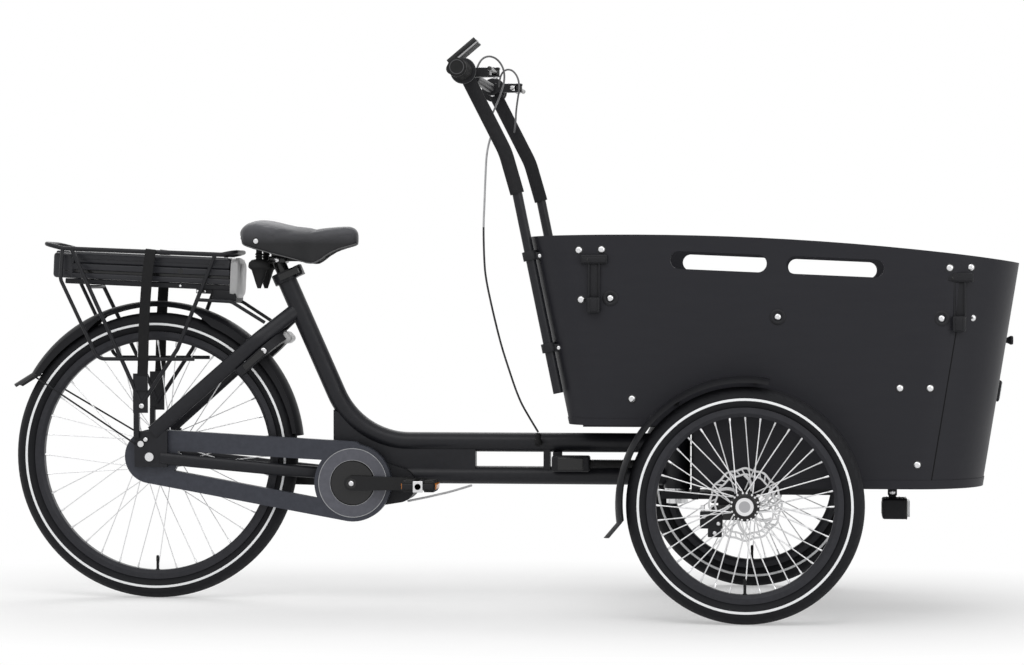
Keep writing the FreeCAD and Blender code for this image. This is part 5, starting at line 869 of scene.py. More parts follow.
# %% Box board
board = Surface("box_board", 0.5, specular_ior_level=0.24)
board_lines = board.noise(26, 4, 0.62, (0.35, 1, 2.4))
film_dark, film_light = (0.0118, 0.0119, 0.0158), (0.0138, 0.0139, 0.0178)
board.colour(board.ramp(board_lines, film_dark, film_light, 0.25, 0.8))
board.rough(board.spread(board.noise(9, 4), 0.44, 0.54))
board_grain = board.math("ADD", board.noise(900, 2), board.math("MULTIPLY", board_lines, 0.5))
board.bump(board_grain, 0.12, 0.0004)
for name in "box_side_right box_side_left box_front_panel box_rear_panel box_floor".split():
    finish_node(name, board.material)
print("five panels of board")

# %% [markdown]
# ## Screws and studs of the box
# Bright screws hold the panels to the frame, each on a dark washer, and three cover studs stand
# on each side. The side bends inward near the nose, so a small function finds where its face is
# at each place.

# %% Screws and studs of the box
BOX_NOSE, NOSE_TOP, NOSE_LEAN, BOX_CORNER, BOX_HALF = 1953, 769, 9.2, 170, 320


def nose_station(height):
    return BOX_NOSE - (NOSE_TOP - height) * math.tan(math.radians(NOSE_LEAN))


def box_side(station, height):
    """How far out the box's side stands, less round the front corner."""
    past = min(max(station - nose_station(height) + BOX_CORNER, 0), BOX_CORNER - 1)
    return BOX_HALF - BOX_CORNER + math.sqrt(BOX_CORNER**2 - past**2)


BOX_SCREWS = (
    (1002, 797), (1051, 798), (1007, 690), (1795, 758), (1840, 759),
    (1844, 651), (1690, 501), (1754, 501), (1727, 337), (1117, 476),
)
COVER_STUDS = ((1070, 693), (1430, 653), (1778, 650))
washer = [(9.3, 0), (9.3, 1.1), (8.4, 1.5)]
stud_ring = [(17, 0), (17, 2), (15.6, 3.1), (12.2, 3.4), (10.8, 2.4), (9, 2.4)]
heads = Form()
for side in (-1, 1):
    out = Vector((0, side, 0))
    for station, height in BOX_SCREWS:
        foot = at(station, side * (box_side(station + 7.5, height) - 0.2), height)
        heads.lathe(washer, foot, out, gloss_black, 24)
        screw(heads, foot + out * 0.0011, out, 7.6, steel)
    for station, height in COVER_STUDS:
        foot = at(station, side * (box_side(station + 14, height) - 0.2), height)
        heads.lathe(stud_ring, foot, out, grained_plastic, 32, True)
        screw(heads, foot + out * 0.0014, out, 7.2, steel)
heads.done("box_bolt_heads", "front", ["box_bolts"])

# %% [markdown]
# ## Panel seams
# The bent nose panel meets each side in a fine dark joint. Cutting a groove would change the
# solid panels, so a thin dark strip is laid along the joint, almost flush with the board.

# %% Panel seams
SEAM_BACK, SEAM_LOW, SEAM_HIGH, SEAM_STEPS = 120, 300, 745, 12
SEAM_SECTION = ((-1.3, -0.4), (1.3, -0.4), (1.1, 0.7), (-1.1, 0.7))
seam_black = coated("seam_black", (0.0045, 0.0045, 0.005), 0.6, 900, 0.1, gloss=0.12)
seams = Form()
for side in (-1, 1):
    line = []
    for k in range(SEAM_STEPS + 1):
        height = SEAM_LOW + (SEAM_HIGH - SEAM_LOW) * k / SEAM_STEPS
        station = nose_station(height) - SEAM_BACK
        line.append(at(station, side * (box_side(station, height) - 0.3), height))
    seams.sweep(line, SEAM_SECTION, seam_black, (0, side, 0))
seams.done("box_panel_seams", "front")

# %% [markdown]
# ## Fittings of the box
# Four holders take the poles of a rain hood: a top plate, a strip and a cup. Clips tie the box to
# the handlebar's uprights, a reflector and a knob sit on the nose, and a bracket hangs the lamp.
# All are small moulded parts, so rounded blocks and turned shapes in one mesh are enough.

# %% Pole holders
HOLDER_HALF = 29
# offset along the side, outward and up from the top edge, size and bevel of each part
HOLDER_PARTS = (
    (0, 4.5, -10, (58, 11, 20), 3), (0, 10.5, -11, (52, 4, 12), 1.6),
    (0, 1.6, -62, (23, 3.2, 92), 1), (-11, 4.2, -62, (4, 7, 92), 1.5),
    (11, 4.2, -62, (4, 7, 92), 1.5), (0, 9, -109, (27, 18, 34), 3),
    (0, 18, -109, (15, 4, 28), 1.6),
)
fittings = Form()


def pole_holder(side, station, top):
    ahead, behind = box_side(station + HOLDER_HALF, top), box_side(station - HOLDER_HALF, top)
    bend = Matrix.Rotation(math.atan2(side * (behind - ahead), 2 * HOLDER_HALF), 3, "Z")
    face = at(station, side * (behind + ahead) / 2, top)

    def spot(along, out, up):
        return face + bend @ Vector((along, side * out, up)) / 1000

    for along, out, up, size, bevel in HOLDER_PARTS:
        fittings.block(spot(along, out, up), size, grained_plastic, bevel, bend)
    screw(fittings, spot(-14, 12, -11), (0, side, 0), 2.6, gloss_black)


for side in (-1, 1):
    pole_holder(side, 1035, 787)
    pole_holder(side, 1817.5, 747)
print("four pole holders")

# %% Clips, reflector, knob and lamp bracket
UPRIGHT_BACK, UPRIGHT_RISE, UPRIGHT_FOOT = 90, 435, (954, 486)
UPRIGHT_TILT = Vector((-UPRIGHT_BACK, 0, UPRIGHT_RISE))
REFLECTOR_HEIGHT, KNOB_HEIGHT, BRACKET_STATION = 486, 598, 1684
clip = [(11.1, -10), (15.8, -10), (16.4, -9), (16.4, 9), (15.8, 10), (11.1, 10)]
for side in (-1, 1):
    for height in (785, 585):
        back = UPRIGHT_BACK * (height - UPRIGHT_FOOT[1]) / UPRIGHT_RISE
        middle = at(UPRIGHT_FOOT[0] - back, side * 280, height)
        fittings.lathe(clip, middle, UPRIGHT_TILT, grained_plastic, 32, True)
        fittings.block(middle + Vector((0.025, 0, 0)), (36, 18, 17), grained_plastic, 3)
        screw(fittings, middle + Vector((0.022, side * 0.009, 0)), (0, side, 0), 4.5, steel)
nose_lean = Matrix.Rotation(math.radians(NOSE_LEAN), 3, "Y")
nose_face = at(nose_station(REFLECTOR_HEIGHT), 0, REFLECTOR_HEIGHT)
reflector_frame, reflector = nose_face + Vector((0.006, 0, 0)), nose_face + Vector((0.0136, 0, 0))
fittings.block(reflector_frame, (18, 64, 48), grained_plastic, 4, nose_lean)
fittings.block(reflector, (6, 56, 40), white_reflector, 2, nose_lean)
knob = [
    (9, -3), (8, 2), (6.4, 5), (6.4, 13), (8.4, 17), (10, 20), (10, 24), (8.6, 26), (0.4, 26.4),
]
knob_foot = at(nose_station(KNOB_HEIGHT), 0, KNOB_HEIGHT)
fittings.lathe(knob, knob_foot, (1, 0, 0), grained_plastic, 32)
fittings.block(at(BRACKET_STATION, 0, 283), (60, 44, 4), grained_plastic, 1.4)
fittings.lathe([(4, -15.5), (4, 15.5)], at(BRACKET_STATION, 0, 256), (0, 1, 0), steel, 16)
for side in (-1, 1):
    fittings.block(at(BRACKET_STATION, side * 13.5, 267), (20, 3, 36), grained_plastic, 1)
    screw(fittings, at(BRACKET_STATION, side * 15.2, 256), (0, side, 0), 6.5, steel)
    screw(fittings, at(BRACKET_STATION + 6, side * 15.2, 274), (0, side, 0), 5, steel)
fittings.done("box_holders", "front", ["box_fittings"])

# %% [markdown]
# ## Headlight
# A small lamp hangs under the box, with cooling fins on top and a clear lens in front. The
# housing is in the solid model, so only a rim, the fins and a rear cover are added. The lens lets
# some light through and its ripples are a bump.

# %% Headlight
lens = Surface("lamp_lens", 0.12, transmission_weight=0.3, ior=1.49)
lens.colour(lens.ramp(lens.noise(30, 2), (0.82, 0.84, 0.86), (0.92, 0.93, 0.94)))
lens.bump(lens.math("SINE", lens.math("MULTIPLY", lens.noise(4, 0), 90.0)), 0.3, 0.0006)
finish_node("headlight_lens", lens.material)
lamp = Form()
lamp.block(at(1714, 0, 220), (5, 69, 47), gloss_black, 2.4)
for k, width in enumerate((40, 20, 20, 20, 40)):
    lamp.block(at(1672 + 7 * k, 0, 243.4), (2.6, width, 2.2), grained_plastic, 0.8)
lamp.block(at(1663, 0, 220), (6, 48, 30), grained_plastic, 2.5)
lamp.done("headlight_bezel", "headlight")

# %% [markdown]
# ## Saddle
# A broad padded saddle: vinyl stretched over foam on a moulded shell, wide at the tail, narrow at
# the nose, open underneath between two skirts. Sections along its length, each with its width,
# top and lower edge, give the firm shape. Then the foam is left to swell: the mesh is remeshed
# evenly and blown up a little as cloth, with the skirts held. Modelling the swell by hand would
# look carved.

# %% Saddle sections
SADDLE_TAIL, SADDLE_LENGTH, SADDLE_HALF = 202, 267, 97
SADDLE_FLOOR, SADDLE_DEPTH, SADDLE_ROOF = 765.95, 106, 811.95
SKIRT, WAIST = 9, 0.72
# share of the length, half width, top and lower edge
SADDLE_ROWS = (
    (0, 0.42, 0.74, 0.66), (0.012, 0.52, 0.79, 0.60), (0.03, 0.62, 0.845, 0.52),
    (0.05, 0.74, 0.89, 0.43), (0.12, 0.9, 0.977, 0.37), (0.19, 0.97, 0.983, 0.32),
    (0.29, 1, 0.926, 0.25), (0.38, 0.89, 0.858, 0.19), (0.48, 0.74, 0.80, 0.12),
    (0.61, 0.47, 0.787, 0.03), (0.68, 0.40, 0.797, 0.09), (0.74, 0.34, 0.815, 0.2),
    (0.82, 0.30, 0.835, 0.31), (0.89, 0.27, 0.846, 0.37), (0.94, 0.25, 0.84, 0.405),
    (0.975, 0.21, 0.80, 0.43), (0.993, 0.16, 0.74, 0.46), (1, 0.11, 0.68, 0.50),
)
SIDE_SHARES = ((0.99, 0.75), (0.965, 0.35), (0.94, 0.08), (0.90, 0.0))


def saddle_edge(row):
    """Station, half width, top and lower edge of one section, in millimetres."""
    along, half, *edges = row
    top, low = (SADDLE_FLOOR + edge * SADDLE_DEPTH for edge in edges)
    return SADDLE_TAIL + along * SADDLE_LENGTH, half * SADDLE_HALF, top, low


def saddle_ring(row):
    station, wide, top, low = saddle_edge(row)
    waist = low + WAIST * (top - low)
    inside = max(low, SADDLE_ROOF)
    inner = max(0.9 * wide - SKIRT, 0.5 * wide)
    turns = [math.pi * k / 16 for k in range(17)]
    crown = [(wide * math.cos(t), waist + (top - waist) * abs(math.sin(t)) ** 0.9) for t in turns]
    down = [(wide * w, low + share * (waist - low)) for w, share in SIDE_SHARES]
    under = [(inner, low), (0.97 * inner, inside), (0.5 * inner, inside)]
    left = [(-y, z) for y, z in down + under]
    ring = crown + left + [(0, inside)] + (down + under)[::-1]
    return [at(station, y, z) for y, z in ring]


saddle_rows = smooth_line(SADDLE_ROWS, 3)
print("saddle sections", len(saddle_rows))

# %% Saddle vinyl
vinyl = Surface("saddle_vinyl", 0.5, specular_ior_level=0.34)
pores = vinyl.cells(1400)
height = vinyl.axes()[2]
# Paler towards the top by height: a painted sheen highlight on the same vinyl.
painted_sheen_mask = vinyl.spread(height, 0.0, 1.0, 0.815, 0.875)
painted_sheen_colour = vinyl.ramp(vinyl.noise(45, 4, 0.6), (0.112, 0.113, 0.124), (0.14, 0.141, 0.154))
vinyl.colour(vinyl.mix(painted_sheen_mask, (0.0112, 0.0114, 0.0128), painted_sheen_colour))
vinyl.rough(vinyl.spread(vinyl.noise(70, 3), 0.44, 0.6))
vinyl.bump(vinyl.math("ADD", pores, vinyl.math("MULTIPLY", vinyl.noise(500, 3), 0.5)), 0.3, 0.0004)
print("vinyl with pores and a paler top")

# %% Swell the foam as cloth
VOXEL, PRESSURE, SWELL_CAP, SWELL_STEPS = 0.004, 4.0, 0.005, 20
HELD_HEIGHT = (SADDLE_ROOF + 12) / 1000


def solid_copy(piece):
    """The piece's mesh with its modifiers worked in."""
    graph = bpy.context.evaluated_depsgraph_get()
    return bpy.data.meshes.new_from_object(piece.evaluated_get(graph), depsgraph=graph)


def work_in(piece, name):
    data = solid_copy(piece)
    piece.modifiers.remove(piece.modifiers[name])
    piece.data = data


def swell(piece, held):
    """Foam pressing from inside, with everything below the held height fixed."""
    grid = piece.modifiers.new("even_grid", "REMESH")
    grid.mode = "VOXEL"
    grid.voxel_size = VOXEL
    work_in(piece, "even_grid")
    before = [vert.co.copy() for vert in piece.data.vertices]
    group = piece.vertex_groups.new(name="held")
    group.add([k for k, place in enumerate(before) if place.z < held], 1.0, "REPLACE")
    cloth = piece.modifiers.new("foam", "CLOTH")
    cloth.settings.use_pressure = True
    cloth.settings.uniform_pressure_force = PRESSURE
    cloth.settings.vertex_group_mass = "held"
    cloth.settings.effector_weights.gravity = 0
    for step in range(1, SWELL_STEPS + 1):
        scene.frame_set(step)
    work_in(piece, "foam")
    furthest = 0.0
    for vert, place in zip(piece.data.vertices, before):
        move = vert.co - place
        furthest = max(furthest, move.length)
        vert.co = place + move * min(1, SWELL_CAP / max(move.length, 1e-9))
    scene.frame_set(1)
    print("foam moved", round(furthest * 1000, 1), "mm, kept within", SWELL_CAP * 1000, "mm")


# %% Saddle cover
foam = Form()
foam.loft([saddle_ring(row) for row in saddle_rows], vinyl.material)
saddle = foam.close("saddle_pad", 180)
swell(saddle, HELD_HEIGHT)
for face in saddle.data.polygons:
    face.use_smooth = True
if not saddle.data.materials:
    saddle.data.materials.append(vinyl.material)
rounding = saddle.modifiers.new("rounding", "SUBSURF")
rounding.levels = rounding.render_levels = 1
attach(saddle, "seat")
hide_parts("saddle_cover")
print("saddle", len(saddle.data.polygons), "faces before rounding")

# %% [markdown]
# ## Saddle trim and springs
# A piped seam follows the saddle's lower edge, a finer one runs along each flank, and a round
# rivet sits below it. The piping is a paler grey than the vinyl: a painted highlight along the
# edge. Below are a steel plate with two rails, the clamp on the seat post and two rubber springs
# with pointed ends. The seams are thin swept tubes laid on after the swelling, which would wipe
# them out.

# %% Saddle seams and rivets
# The piping's paler grey is a painted highlight on a real piped seam.
piping_painted_highlight = coated("saddle_piping_painted_highlight", (0.10, 0.10, 0.102), 0.5, 1200, 0.15)
trim = Form()
for side in (-1, 1):
    edge = []
    for row in saddle_rows[4:-4]:
        station, wide, top, low = saddle_edge(row)
        edge.append(at(station, side * (0.945 * wide + 0.4), low + 2.6))
    trim.tube(edge, 1.3, piping_painted_highlight, 8)
    flank = []
    for row in saddle_rows[10:-8]:
        station, wide, top, low = saddle_edge(row)
        flank.append(at(station, side * 0.985 * wide, low + 0.62 * (top - low)))
    trim.tube(flank, 0.9, vinyl.material, 8)
    rivet = at(249, side * 90.5, 821)
    trim.lathe([(8.5, -3), (8.5, 1), (7.2, 2.2), (5.8, 2.2)], rivet, (0, side, 0), gloss_black, 28)
    trim.lathe([(5.6, 1.5), (5.4, 2.8), (3.8, 3.4), (0.4, 3.6)], rivet, (0, side, 0), steel, 24)
trim.done("saddle_seams", "seat")

# %% Saddle springs, rails and clamp
POST_STATION, RAIL_HEIGHT = 284.4, 779.7
RAIL = (
    (265, 805.7), (277, 793), (292, 780.2), (315, RAIL_HEIGHT), (372, RAIL_HEIGHT), (384, 783),
    (393, 793), (400, 806),
)
# radius at each height, from the pointed end up past the folds of rubber
SPRING = (
    (4, 714), (7.5, 724), (13, 742), (17.5, 756), (24, 761), (25, 765), (23.5, 773), (17, 779),
    (8, 781), (7, 784), (9.5, 786), (7, 789), (9.5, 792), (7, 795), (7, 812),
)
base = Form()
base.block(at(351, 0, 808.7), (178, 25, 6), grained_plastic, 1.5)
for side in (-1, 1):
    rail = smooth_line([at(x, side * 8.5, z) for x, z in RAIL], 4)
    base.tube(rail, 3.5, gloss_black, 12)
    base.lathe(SPRING, at(247, side * 42, 0), (0, 0, 1), rubber, 28)
    screw(base, at(POST_STATION, side * 23, RAIL_HEIGHT), (0, side, 0), 6.5, steel)
base.block(at(POST_STATION, 0, RAIL_HEIGHT), (40, 46, 16), gloss_black, 3.5)
base.block(at(POST_STATION, 0, 790), (30, 30, 6), gloss_black, 2)
base.done("saddle_springs", "seat", ["saddle_base"])

# %% [markdown]
# ## Handlebar details
# The grips end in a cap, and a wider collar with the controls sits inside each grip. The grey
# ring on the cap and on the collar's edge is a painted highlight. The brake levers are slim blades
# that swing on a bright pin, and a tilted display stands over the bar. The blades stretch from a
# round boss to a ball, so they are lofted rather than cut from a bar.

# %% Grip caps and control collars
BAR_STATION, BAR_HEIGHT = 748, 1187
GRIP_RIBS, RIB_START, RIB_PITCH = 9, 320, 10
# Pale grey rings on the grip caps (cap_ring) and on the collar edges: painted highlight.
painted_ring_highlight = coated("painted_ring_highlight", (0.065, 0.065, 0.069), 0.35, 900, 0.1, gloss=0.4)
grip_cap = [(19.6, -4), (19.6, 0), (18, 1.8), (15.8, 2.2), (14.2, 1.4), (6, 1.6), (0.4, 1.7)]
cap_ring = [(15.8, 1.6), (15.8, 2.5), (14.2, 2.5), (14.2, 1.6)]
collar = [(12, 0), (26.5, 0), (28, 1.5), (28, 7), (26.5, 8.5), (20.5, 9), (12, 9)]
collar_highlight_ring = [(27.6, 6.2), (28.5, 6.4), (28.5, 7.4), (27.6, 7.6)]
grip_rib = [(19.7, -1.5), (20.5, -0.8), (20.5, 0.8), (19.7, 1.5)]
bar_trim = Form()
for side in (-1, 1):
    out = (0, side, 0)
    end = at(BAR_STATION, side * 415, BAR_HEIGHT)
    bar_trim.lathe(grip_cap, end, out, rubber, 36)
    bar_trim.lathe(cap_ring, end, out, painted_ring_highlight, 36, True)
    inside = at(BAR_STATION, side * 296.5, BAR_HEIGHT)
    bar_trim.lathe(collar, inside, out, grained_plastic, 40, True)
    bar_trim.lathe(collar_highlight_ring, inside, out, painted_ring_highlight, 40, True)
    for step in range(GRIP_RIBS):
        middle = at(BAR_STATION, side * (RIB_START + RIB_PITCH * step), BAR_HEIGHT)
        bar_trim.lathe(grip_rib, middle, out, rubber, 36, True)
bar_trim.done("grip_trim", "front")

# %% Brake levers
LEVER_STATION, LEVER_ACROSS = 813, 247
# distance from the pin, half width and half height
LEVER_BLADE = (
    (8, 5.2, 5.0), (16, 5.4, 4.8), (40, 5.0, 4.6), (75, 4.6, 4.4), (104, 4.4, 4.4),
    (113, 5.0, 5.0), (118, 5.5, 5.5), (122, 4.4, 4.4), (123.8, 1.8, 1.8),
)
boss = [(3.4, -5.6), (8, -5.6), (9, -4.8), (9, 4.8), (8, 5.6), (3.4, 5.6)]
for side, word in SIDES:
    pivot = at(LEVER_STATION, side * LEVER_ACROSS, BAR_HEIGHT)
    lever = Form()
    lever.lathe(boss, pivot, (0, 0, 1), gloss_black, 28, True)
    rings = []
    for along, wide, tall in LEVER_BLADE:
        offsets = [(wide * math.cos(t), side * along, tall * math.sin(t)) for t in full_turn(20)]
        rings.append([pivot + Vector(offset) / 1000 for offset in offsets])
    lever.loft(rings, gloss_black)
    lever.done(f"lever_blade_{word}", f"brake_lever_{word}", [f"brake_lever_{word}"])

# %% Lever pins, clamp screws and display
controls = Form()
for side in (-1, 1):
    for way in (-1, 1):
        pin = at(LEVER_STATION, side * LEVER_ACROSS, BAR_HEIGHT + way * 10)
        screw(controls, pin, (0, 0, way), 6.2, steel)
    adjuster = [(5.2, 0), (5.2, 6), (4, 7), (4, 11), (3, 12)]
    controls.lathe(adjuster, at(800, side * 236.2, BAR_HEIGHT), (0, -side, 0), steel, 20)
    clamp = at(BAR_STATION + 4, side * LEVER_ACROSS, BAR_HEIGHT - 16.6)
    screw(controls, clamp, (0, 0, -1), 4.5, steel)
    controls.block(at(790, side * LEVER_ACROSS, BAR_HEIGHT + 10.5), (26, 14, 3), steel, 1)
DISPLAY_TILT = -40
tilt = Matrix.Rotation(math.radians(DISPLAY_TILT), 3, "Y")


def on_display(along, across, up):
    return at(BAR_STATION, across - 120, BAR_HEIGHT) + tilt @ Vector((along, 0, up)) / 1000


controls.block(on_display(19.75, 0, 50.2), (79.8, 60.8, 5.6), pale_cap, 2.2, tilt)
controls.block(on_display(19.75, 0, 58.4), (80.2, 61.2, 10.4), gloss_black, 3.5, tilt)
controls.block(on_display(20, 0, 63.5), (62, 46, 1.2), smoke_plastic, 0.5, tilt)
button = [(3.2, 0), (3.2, 1), (2.6, 1.5), (0.3, 1.5)]
for across in (-16, 0, 16):
    controls.lathe(button, on_display(-14, across, 63.4), tilt @ Vector((0, 0, 1)), rubber, 16)
controls.done("bar_control_trim", "front")

# %% [markdown]
# ## Drive
# A slate grey case hides the chain. Round the crank it has a smoke grey ring, whose bright edges
# are pale rings of painted highlight, and the crank ends in a bright screw. The pedals have rubber
# treads with ribs, bright end plates and amber reflectors. They turn on the crank, so each one is
# its own piece.

# %% Painted ring edge highlights and crank screws
CRANK_STATION, CRANK_HEIGHT, CRANK_LENGTH = 465.5, 272, 165
# Pale grey rings along the window's outer and inner edge: painted highlight.
painted_edge_highlight = coated("ring_edge_painted_highlight", (0.36, 0.365, 0.375), 0.3, 600, 0.05, gloss=0.5)
window_low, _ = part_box("chain_case_window")
window_face = at(CRANK_STATION, window_low[1] * 1000, CRANK_HEIGHT)
outer_edge_highlight = [(77, -0.4), (77.4, 0.6), (78.6, 0.6), (79, -0.4)]
inner_edge_highlight = [(51.2, -0.4), (51.4, 0.5), (52.2, 0.5), (52.4, -0.4)]
edges = Form()
for profile in (outer_edge_highlight, inner_edge_highlight):
    edges.lathe(profile, window_face, (0, -1, 0), painted_edge_highlight, 96, True)
edges.done("chain_case_edge_highlights", "frame")
crank_cup = [(11.5, -0.2), (11.5, 0.8), (9.5, 1.2), (8, 1.0), (8, 0.2)]
cranks = Form()
for side in (-1, 1):
    axle_end = at(CRANK_STATION, side * 80, CRANK_HEIGHT)
    cranks.lathe(crank_cup, axle_end, (0, side, 0), gloss_black, 32)
    screw(cranks, axle_end + Vector((0, side * 0.0002, 0)), (0, side, 0), 6.4, steel)
cranks.done("crank_screws", "crank")

# %% Pedals
PEDAL_ACROSS, PEDAL_HALF = 131, 0.046
PEDAL_RIBS, PEDAL_RIB_PITCH = 6, 0.013
pedal_sleeve = [(7.4, -45), (11, -45), (11.5, -44), (11.5, 42), (11, 43), (7.4, 43)]
pedal_cap = [(8, -1), (8, 0.4), (7, 1), (0.4, 1)]


def pedal(word, side, station):
    middle = at(station, side * PEDAL_ACROSS, CRANK_HEIGHT)
    form = Form()
    form.lathe(pedal_sleeve, middle, (0, side, 0), grained_plastic, 28, True)
    for ahead in (-1, 1):
        tread = middle + Vector((ahead * 0.024, 0, 0))
        form.block(tread, (26, 82, 22), rubber, 4)
        for way in (-1, 1):
            for k in range(PEDAL_RIBS):
                across = (k - (PEDAL_RIBS - 1) / 2) * PEDAL_RIB_PITCH
                rib = tread + Vector((0, across, way * 0.0112))
                form.block(rib, (22, 6, 3.2), rubber, 1.2)
        form.block(middle + Vector((ahead * 0.0375, 0, 0)), (4, 58, 13), amber, 1.2)
        form.block(middle + Vector((0, ahead * 0.0435, 0)), (70, 4, 12), grained_plastic, 1.5)
    plate = middle + Vector((0, side * (PEDAL_HALF - 0.0015), 0))
    form.block(plate, (22, 3, 25), steel, 1)
    cap_foot = middle + Vector((0, side * (PEDAL_HALF - 0.001), 0))
    form.lathe(pedal_cap, cap_foot, (0, side, 0), gloss_black, 28)
    form.done(f"pedal_{word}_treads", f"pedal_{word}", [f"pedal_{word}"])


pedal("right", -1, CRANK_STATION + CRANK_LENGTH)
pedal("left", 1, CRANK_STATION - CRANK_LENGTH)

# %% [markdown]
# ## Battery
# A long flat case slides into the rack from behind. Its side has bands: a rounded top shell, a
# ledge, a dark groove and a lower tray, with a thicker block and a pull tab at the rear. A fixed
# rail, a control box and a pale end cap stay on the rack. The bands are separate rounded blocks,
# because the thin shadow lines between them are what reads as a battery from the side.

# %% Battery case
BATTERY_REAR, BATTERY_FOOT, BATTERY_ANGLE = -235, 739.5, 2.5
battery_slope = Matrix.Rotation(math.radians(BATTERY_ANGLE), 3, "Y")
battery_foot = at(BATTERY_REAR, 0, BATTERY_FOOT)
case_black = coated("battery_black", (0.0185, 0.019, 0.023), 0.34, 1300, 0.14, gloss=0.32)


def on_battery(along, across, up):
    return battery_foot + battery_slope @ Vector((along, across, up)) / 1000


def battery_blocks(form, blocks):
    for start, end, wide, low, high, material, bevel in blocks:
        middle = on_battery((start + end) / 2, 0, (low + high) / 2)
        form.block(middle, (end - start, wide, high - low), material, bevel, battery_slope)


# start and end along the case, width, underside, top, finish and bevel
CASE_BLOCKS = (
    (44, 414.5, 90, 33, 62.6, case_black, 8),
    (44, 414, 97, 20, 35, case_black, 3),
    (44, 412, 86, 12, 22, gloss_black, 1),
    (44, 414.5, 97.6, 0.4, 13.5, case_black, 3),
    (60, 405, 92.4, 45, 47.4, case_black, 1),
    (0.5, 50, 97.6, 0.4, 58, case_black, 8),
    (2, 34, 60, 54, 62.6, case_black, 4),
    (8, 40, 98, 16, 19, gloss_black, 1),
)
lock_plug = [(6.5, -0.4), (6.5, 0.4), (5.5, 0.6), (0.4, 0.6)]
battery = Form()
battery_blocks(battery, CASE_BLOCKS)
for side in (-1, 1):
    battery.lathe(lock_plug, on_battery(300, side * 48.4, 27), (0, side, 0), gloss_black, 24)
battery.done("battery_shell", "battery", ["battery_case"])

# %% Battery rail, control box and pale cap
RAIL_BLOCKS = (
    (30, 416, 90, -12.3, -0.4, grained_plastic, 2),
    (374, 430, 90, -38.3, -11, grained_plastic, 4),
    (336, 376, 84, -22, -11, grained_plastic, 2),
)
# distance along the case, half width, underside and top of the cap's rounded sections
CAP_SECTIONS = (
    (415.6, 48, -30, 63), (424, 48, -31, 63), (431, 46, -29, 60), (435.4, 40, -22, 52),
)
CAP_SQUARENESS = 0.4
# distance along the case, outward and up, and radius of each screw
RAIL_SCREWS = (
    (340, 42, -17, 3.4), (348, 42, -17, 3.4), (356, 42, -17, 3.4), (80, 45, -6.5, 3.2),
    (300, 45, -6.5, 3.2),
)


def squared(value):
    """A sine or cosine pushed outward, which turns a circle into a rounded square."""
    return math.copysign(abs(value) ** CAP_SQUARENESS, value)


holder = Form()
battery_blocks(holder, RAIL_BLOCKS)
cap_rings = []
for along, wide, low, high in CAP_SECTIONS:
    middle, half = (low + high) / 2, (high - low) / 2
    outline = [(squared(math.cos(t)), squared(math.sin(t))) for t in full_turn(40)]
    cap_rings.append([on_battery(along, a * wide, middle + b * half) for a, b in outline])
holder.loft(cap_rings, pale_cap)
for side in (-1, 1):
    for along, out, up, radius in RAIL_SCREWS:
        screw(holder, on_battery(along, side * out, up), (0, side, 0), radius, steel)
holder.done("battery_rail_and_cap", "frame", ["battery_rail"])

# %% [markdown]
# ## Rack straps and screws
# A flat rubber strap runs from the rack's top down to each foot plate, and bright screws fix the
# feet and the rear axle plates. A strap is a flat section swept along its line, which keeps its
# width where a round tube would not.

# %% Rack straps and screws
STRAP_LINE = (
    (2, 71.5, 801), (1.5, 75, 796), (-4, 86, 735), (-10, 88.5, 640), (-13, 89, 540),
    (-15, 89.2, 505),
)
strap_rubber = coated("strap_rubber", (0.0095, 0.0095, 0.0102), 0.6, 1500, 0.3, gloss=0.16)
strap_section = [
    (-12, -1.6), (-11, -2), (11, -2), (12, -1.6), (12, 1.6), (11, 2), (-11, 2), (-12, 1.6),
]
straps = Form()
for side in (-1, 1):
    line = smooth_line([at(x, side * y, z) for x, y, z in STRAP_LINE], 6)
    straps.sweep(line, strap_section, strap_rubber, (0, side, 0))
    straps.block(at(-17, side * 88.5, 497), (28, 7, 34), grained_plastic, 2.5)
    screw(straps, at(-17, side * 86, 446), (0, side, 0), 6.2, steel)
    screw(straps, at(-10, side * 78, 369), (0, side, 0), 5.6, steel)
straps.done("rack_straps", "frame")

# %% [markdown]
# ## Ring lock and cable junction
# A horseshoe lock sits under the seat stays with a pale end cap and a keyhole. Under the main
# tube a small box joins the cables, with a conduit forward and a gland where the hanging cable
# enters. Both are turned shapes and rounded blocks.

# %% Ring lock trim
STAY_RISE, STAY_RUN = 215, 244
LOCK_MIDDLE = at(254.4, 0, 564.9)
lock_turn = Matrix.Rotation(-math.atan2(STAY_RISE, STAY_RUN), 3, "Y")


def on_lock(along, across, below):
    return LOCK_MIDDLE + lock_turn @ Vector((along, across, -below)) / 1000


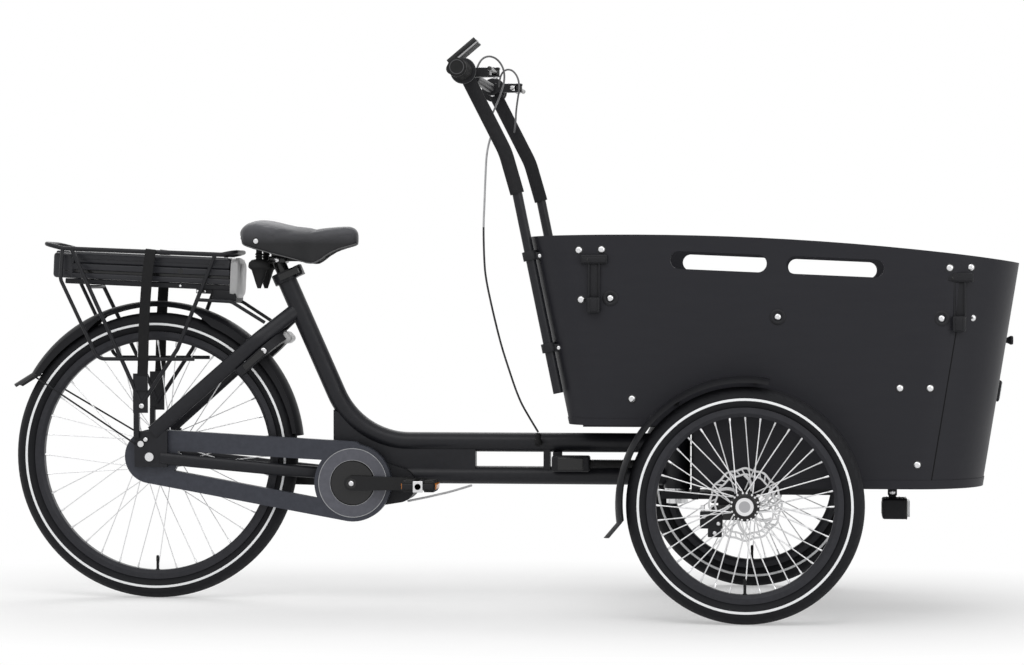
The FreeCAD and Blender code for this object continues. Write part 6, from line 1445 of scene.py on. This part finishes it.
lock = Form()
lock.block(on_lock(63, 0, 7), (22, 62, 26), pale_cap, 8, lock_turn)
for side in (-1, 1):
    lock.block(on_lock(-20, side * 69.5, 0), (60, 4, 15), gloss_black, 1.8, lock_turn)
keyhole = [(7, 0), (7, 1), (6, 1.6), (2.4, 1.6), (2.2, 0.8), (0.3, 0.8)]
lock.lathe(keyhole, on_lock(10, -69.8, 0), (0, -1, 0), steel, 24)
lock.done("ring_lock_trim", "frame")

# %% Cable junction
JUNCTION_STATION, JUNCTION_ACROSS, JUNCTION_HEIGHT = 962, -40, 318
CONDUIT_START, CONDUIT_END, CONDUIT_RIBS, CONDUIT_PITCH = 1005, 1119.8, 28, 4
CONDUIT_RIB = ((9.4, 0), (9.4, 2), (8.4, 2.6), (8.4, 3.6))
GLAND_STATION = 887.2
junction_collar = [(12, -5), (14, -4), (14, 4), (12, 5)]
gland = [
    (7.9, 363), (7.9, 372), (6.6, 373), (6.6, 378), (7.6, 379), (7.6, 384), (5, 386.4),
    (2.6, 386.6),
]


def on_junction(station):
    return at(station, JUNCTION_ACROSS, JUNCTION_HEIGHT)


junction = Form()
junction.block(on_junction(JUNCTION_STATION), (86, 34, 36), grained_plastic, 5)
junction.block(on_junction(JUNCTION_STATION), (60, 36, 30), gloss_black, 3)
for station in (925, 1000):
    junction.lathe(junction_collar, on_junction(station), (1, 0, 0), rubber, 28)
conduit = []
for k in range(CONDUIT_RIBS):
    start = CONDUIT_START + CONDUIT_PITCH * k
    conduit += [(radius, start + along) for radius, along in CONDUIT_RIB]
conduit.append((CONDUIT_RIB[0][0], CONDUIT_END))
junction.lathe(conduit, on_junction(0), (1, 0, 0), rubber, 24)
junction.block(at(929, -12, 326), (20, 24, 34), grained_plastic, 2)
junction.lathe(gland, at(GLAND_STATION, -42, 0), (0, 0, 1), rubber, 24)
junction.lathe([(7.9, 0), (7.9, 24)], at(GLAND_STATION, -44, 363.5), (0, 1, 0), rubber, 24)
junction.done("cable_junction", "frame", ["frame_cables"])
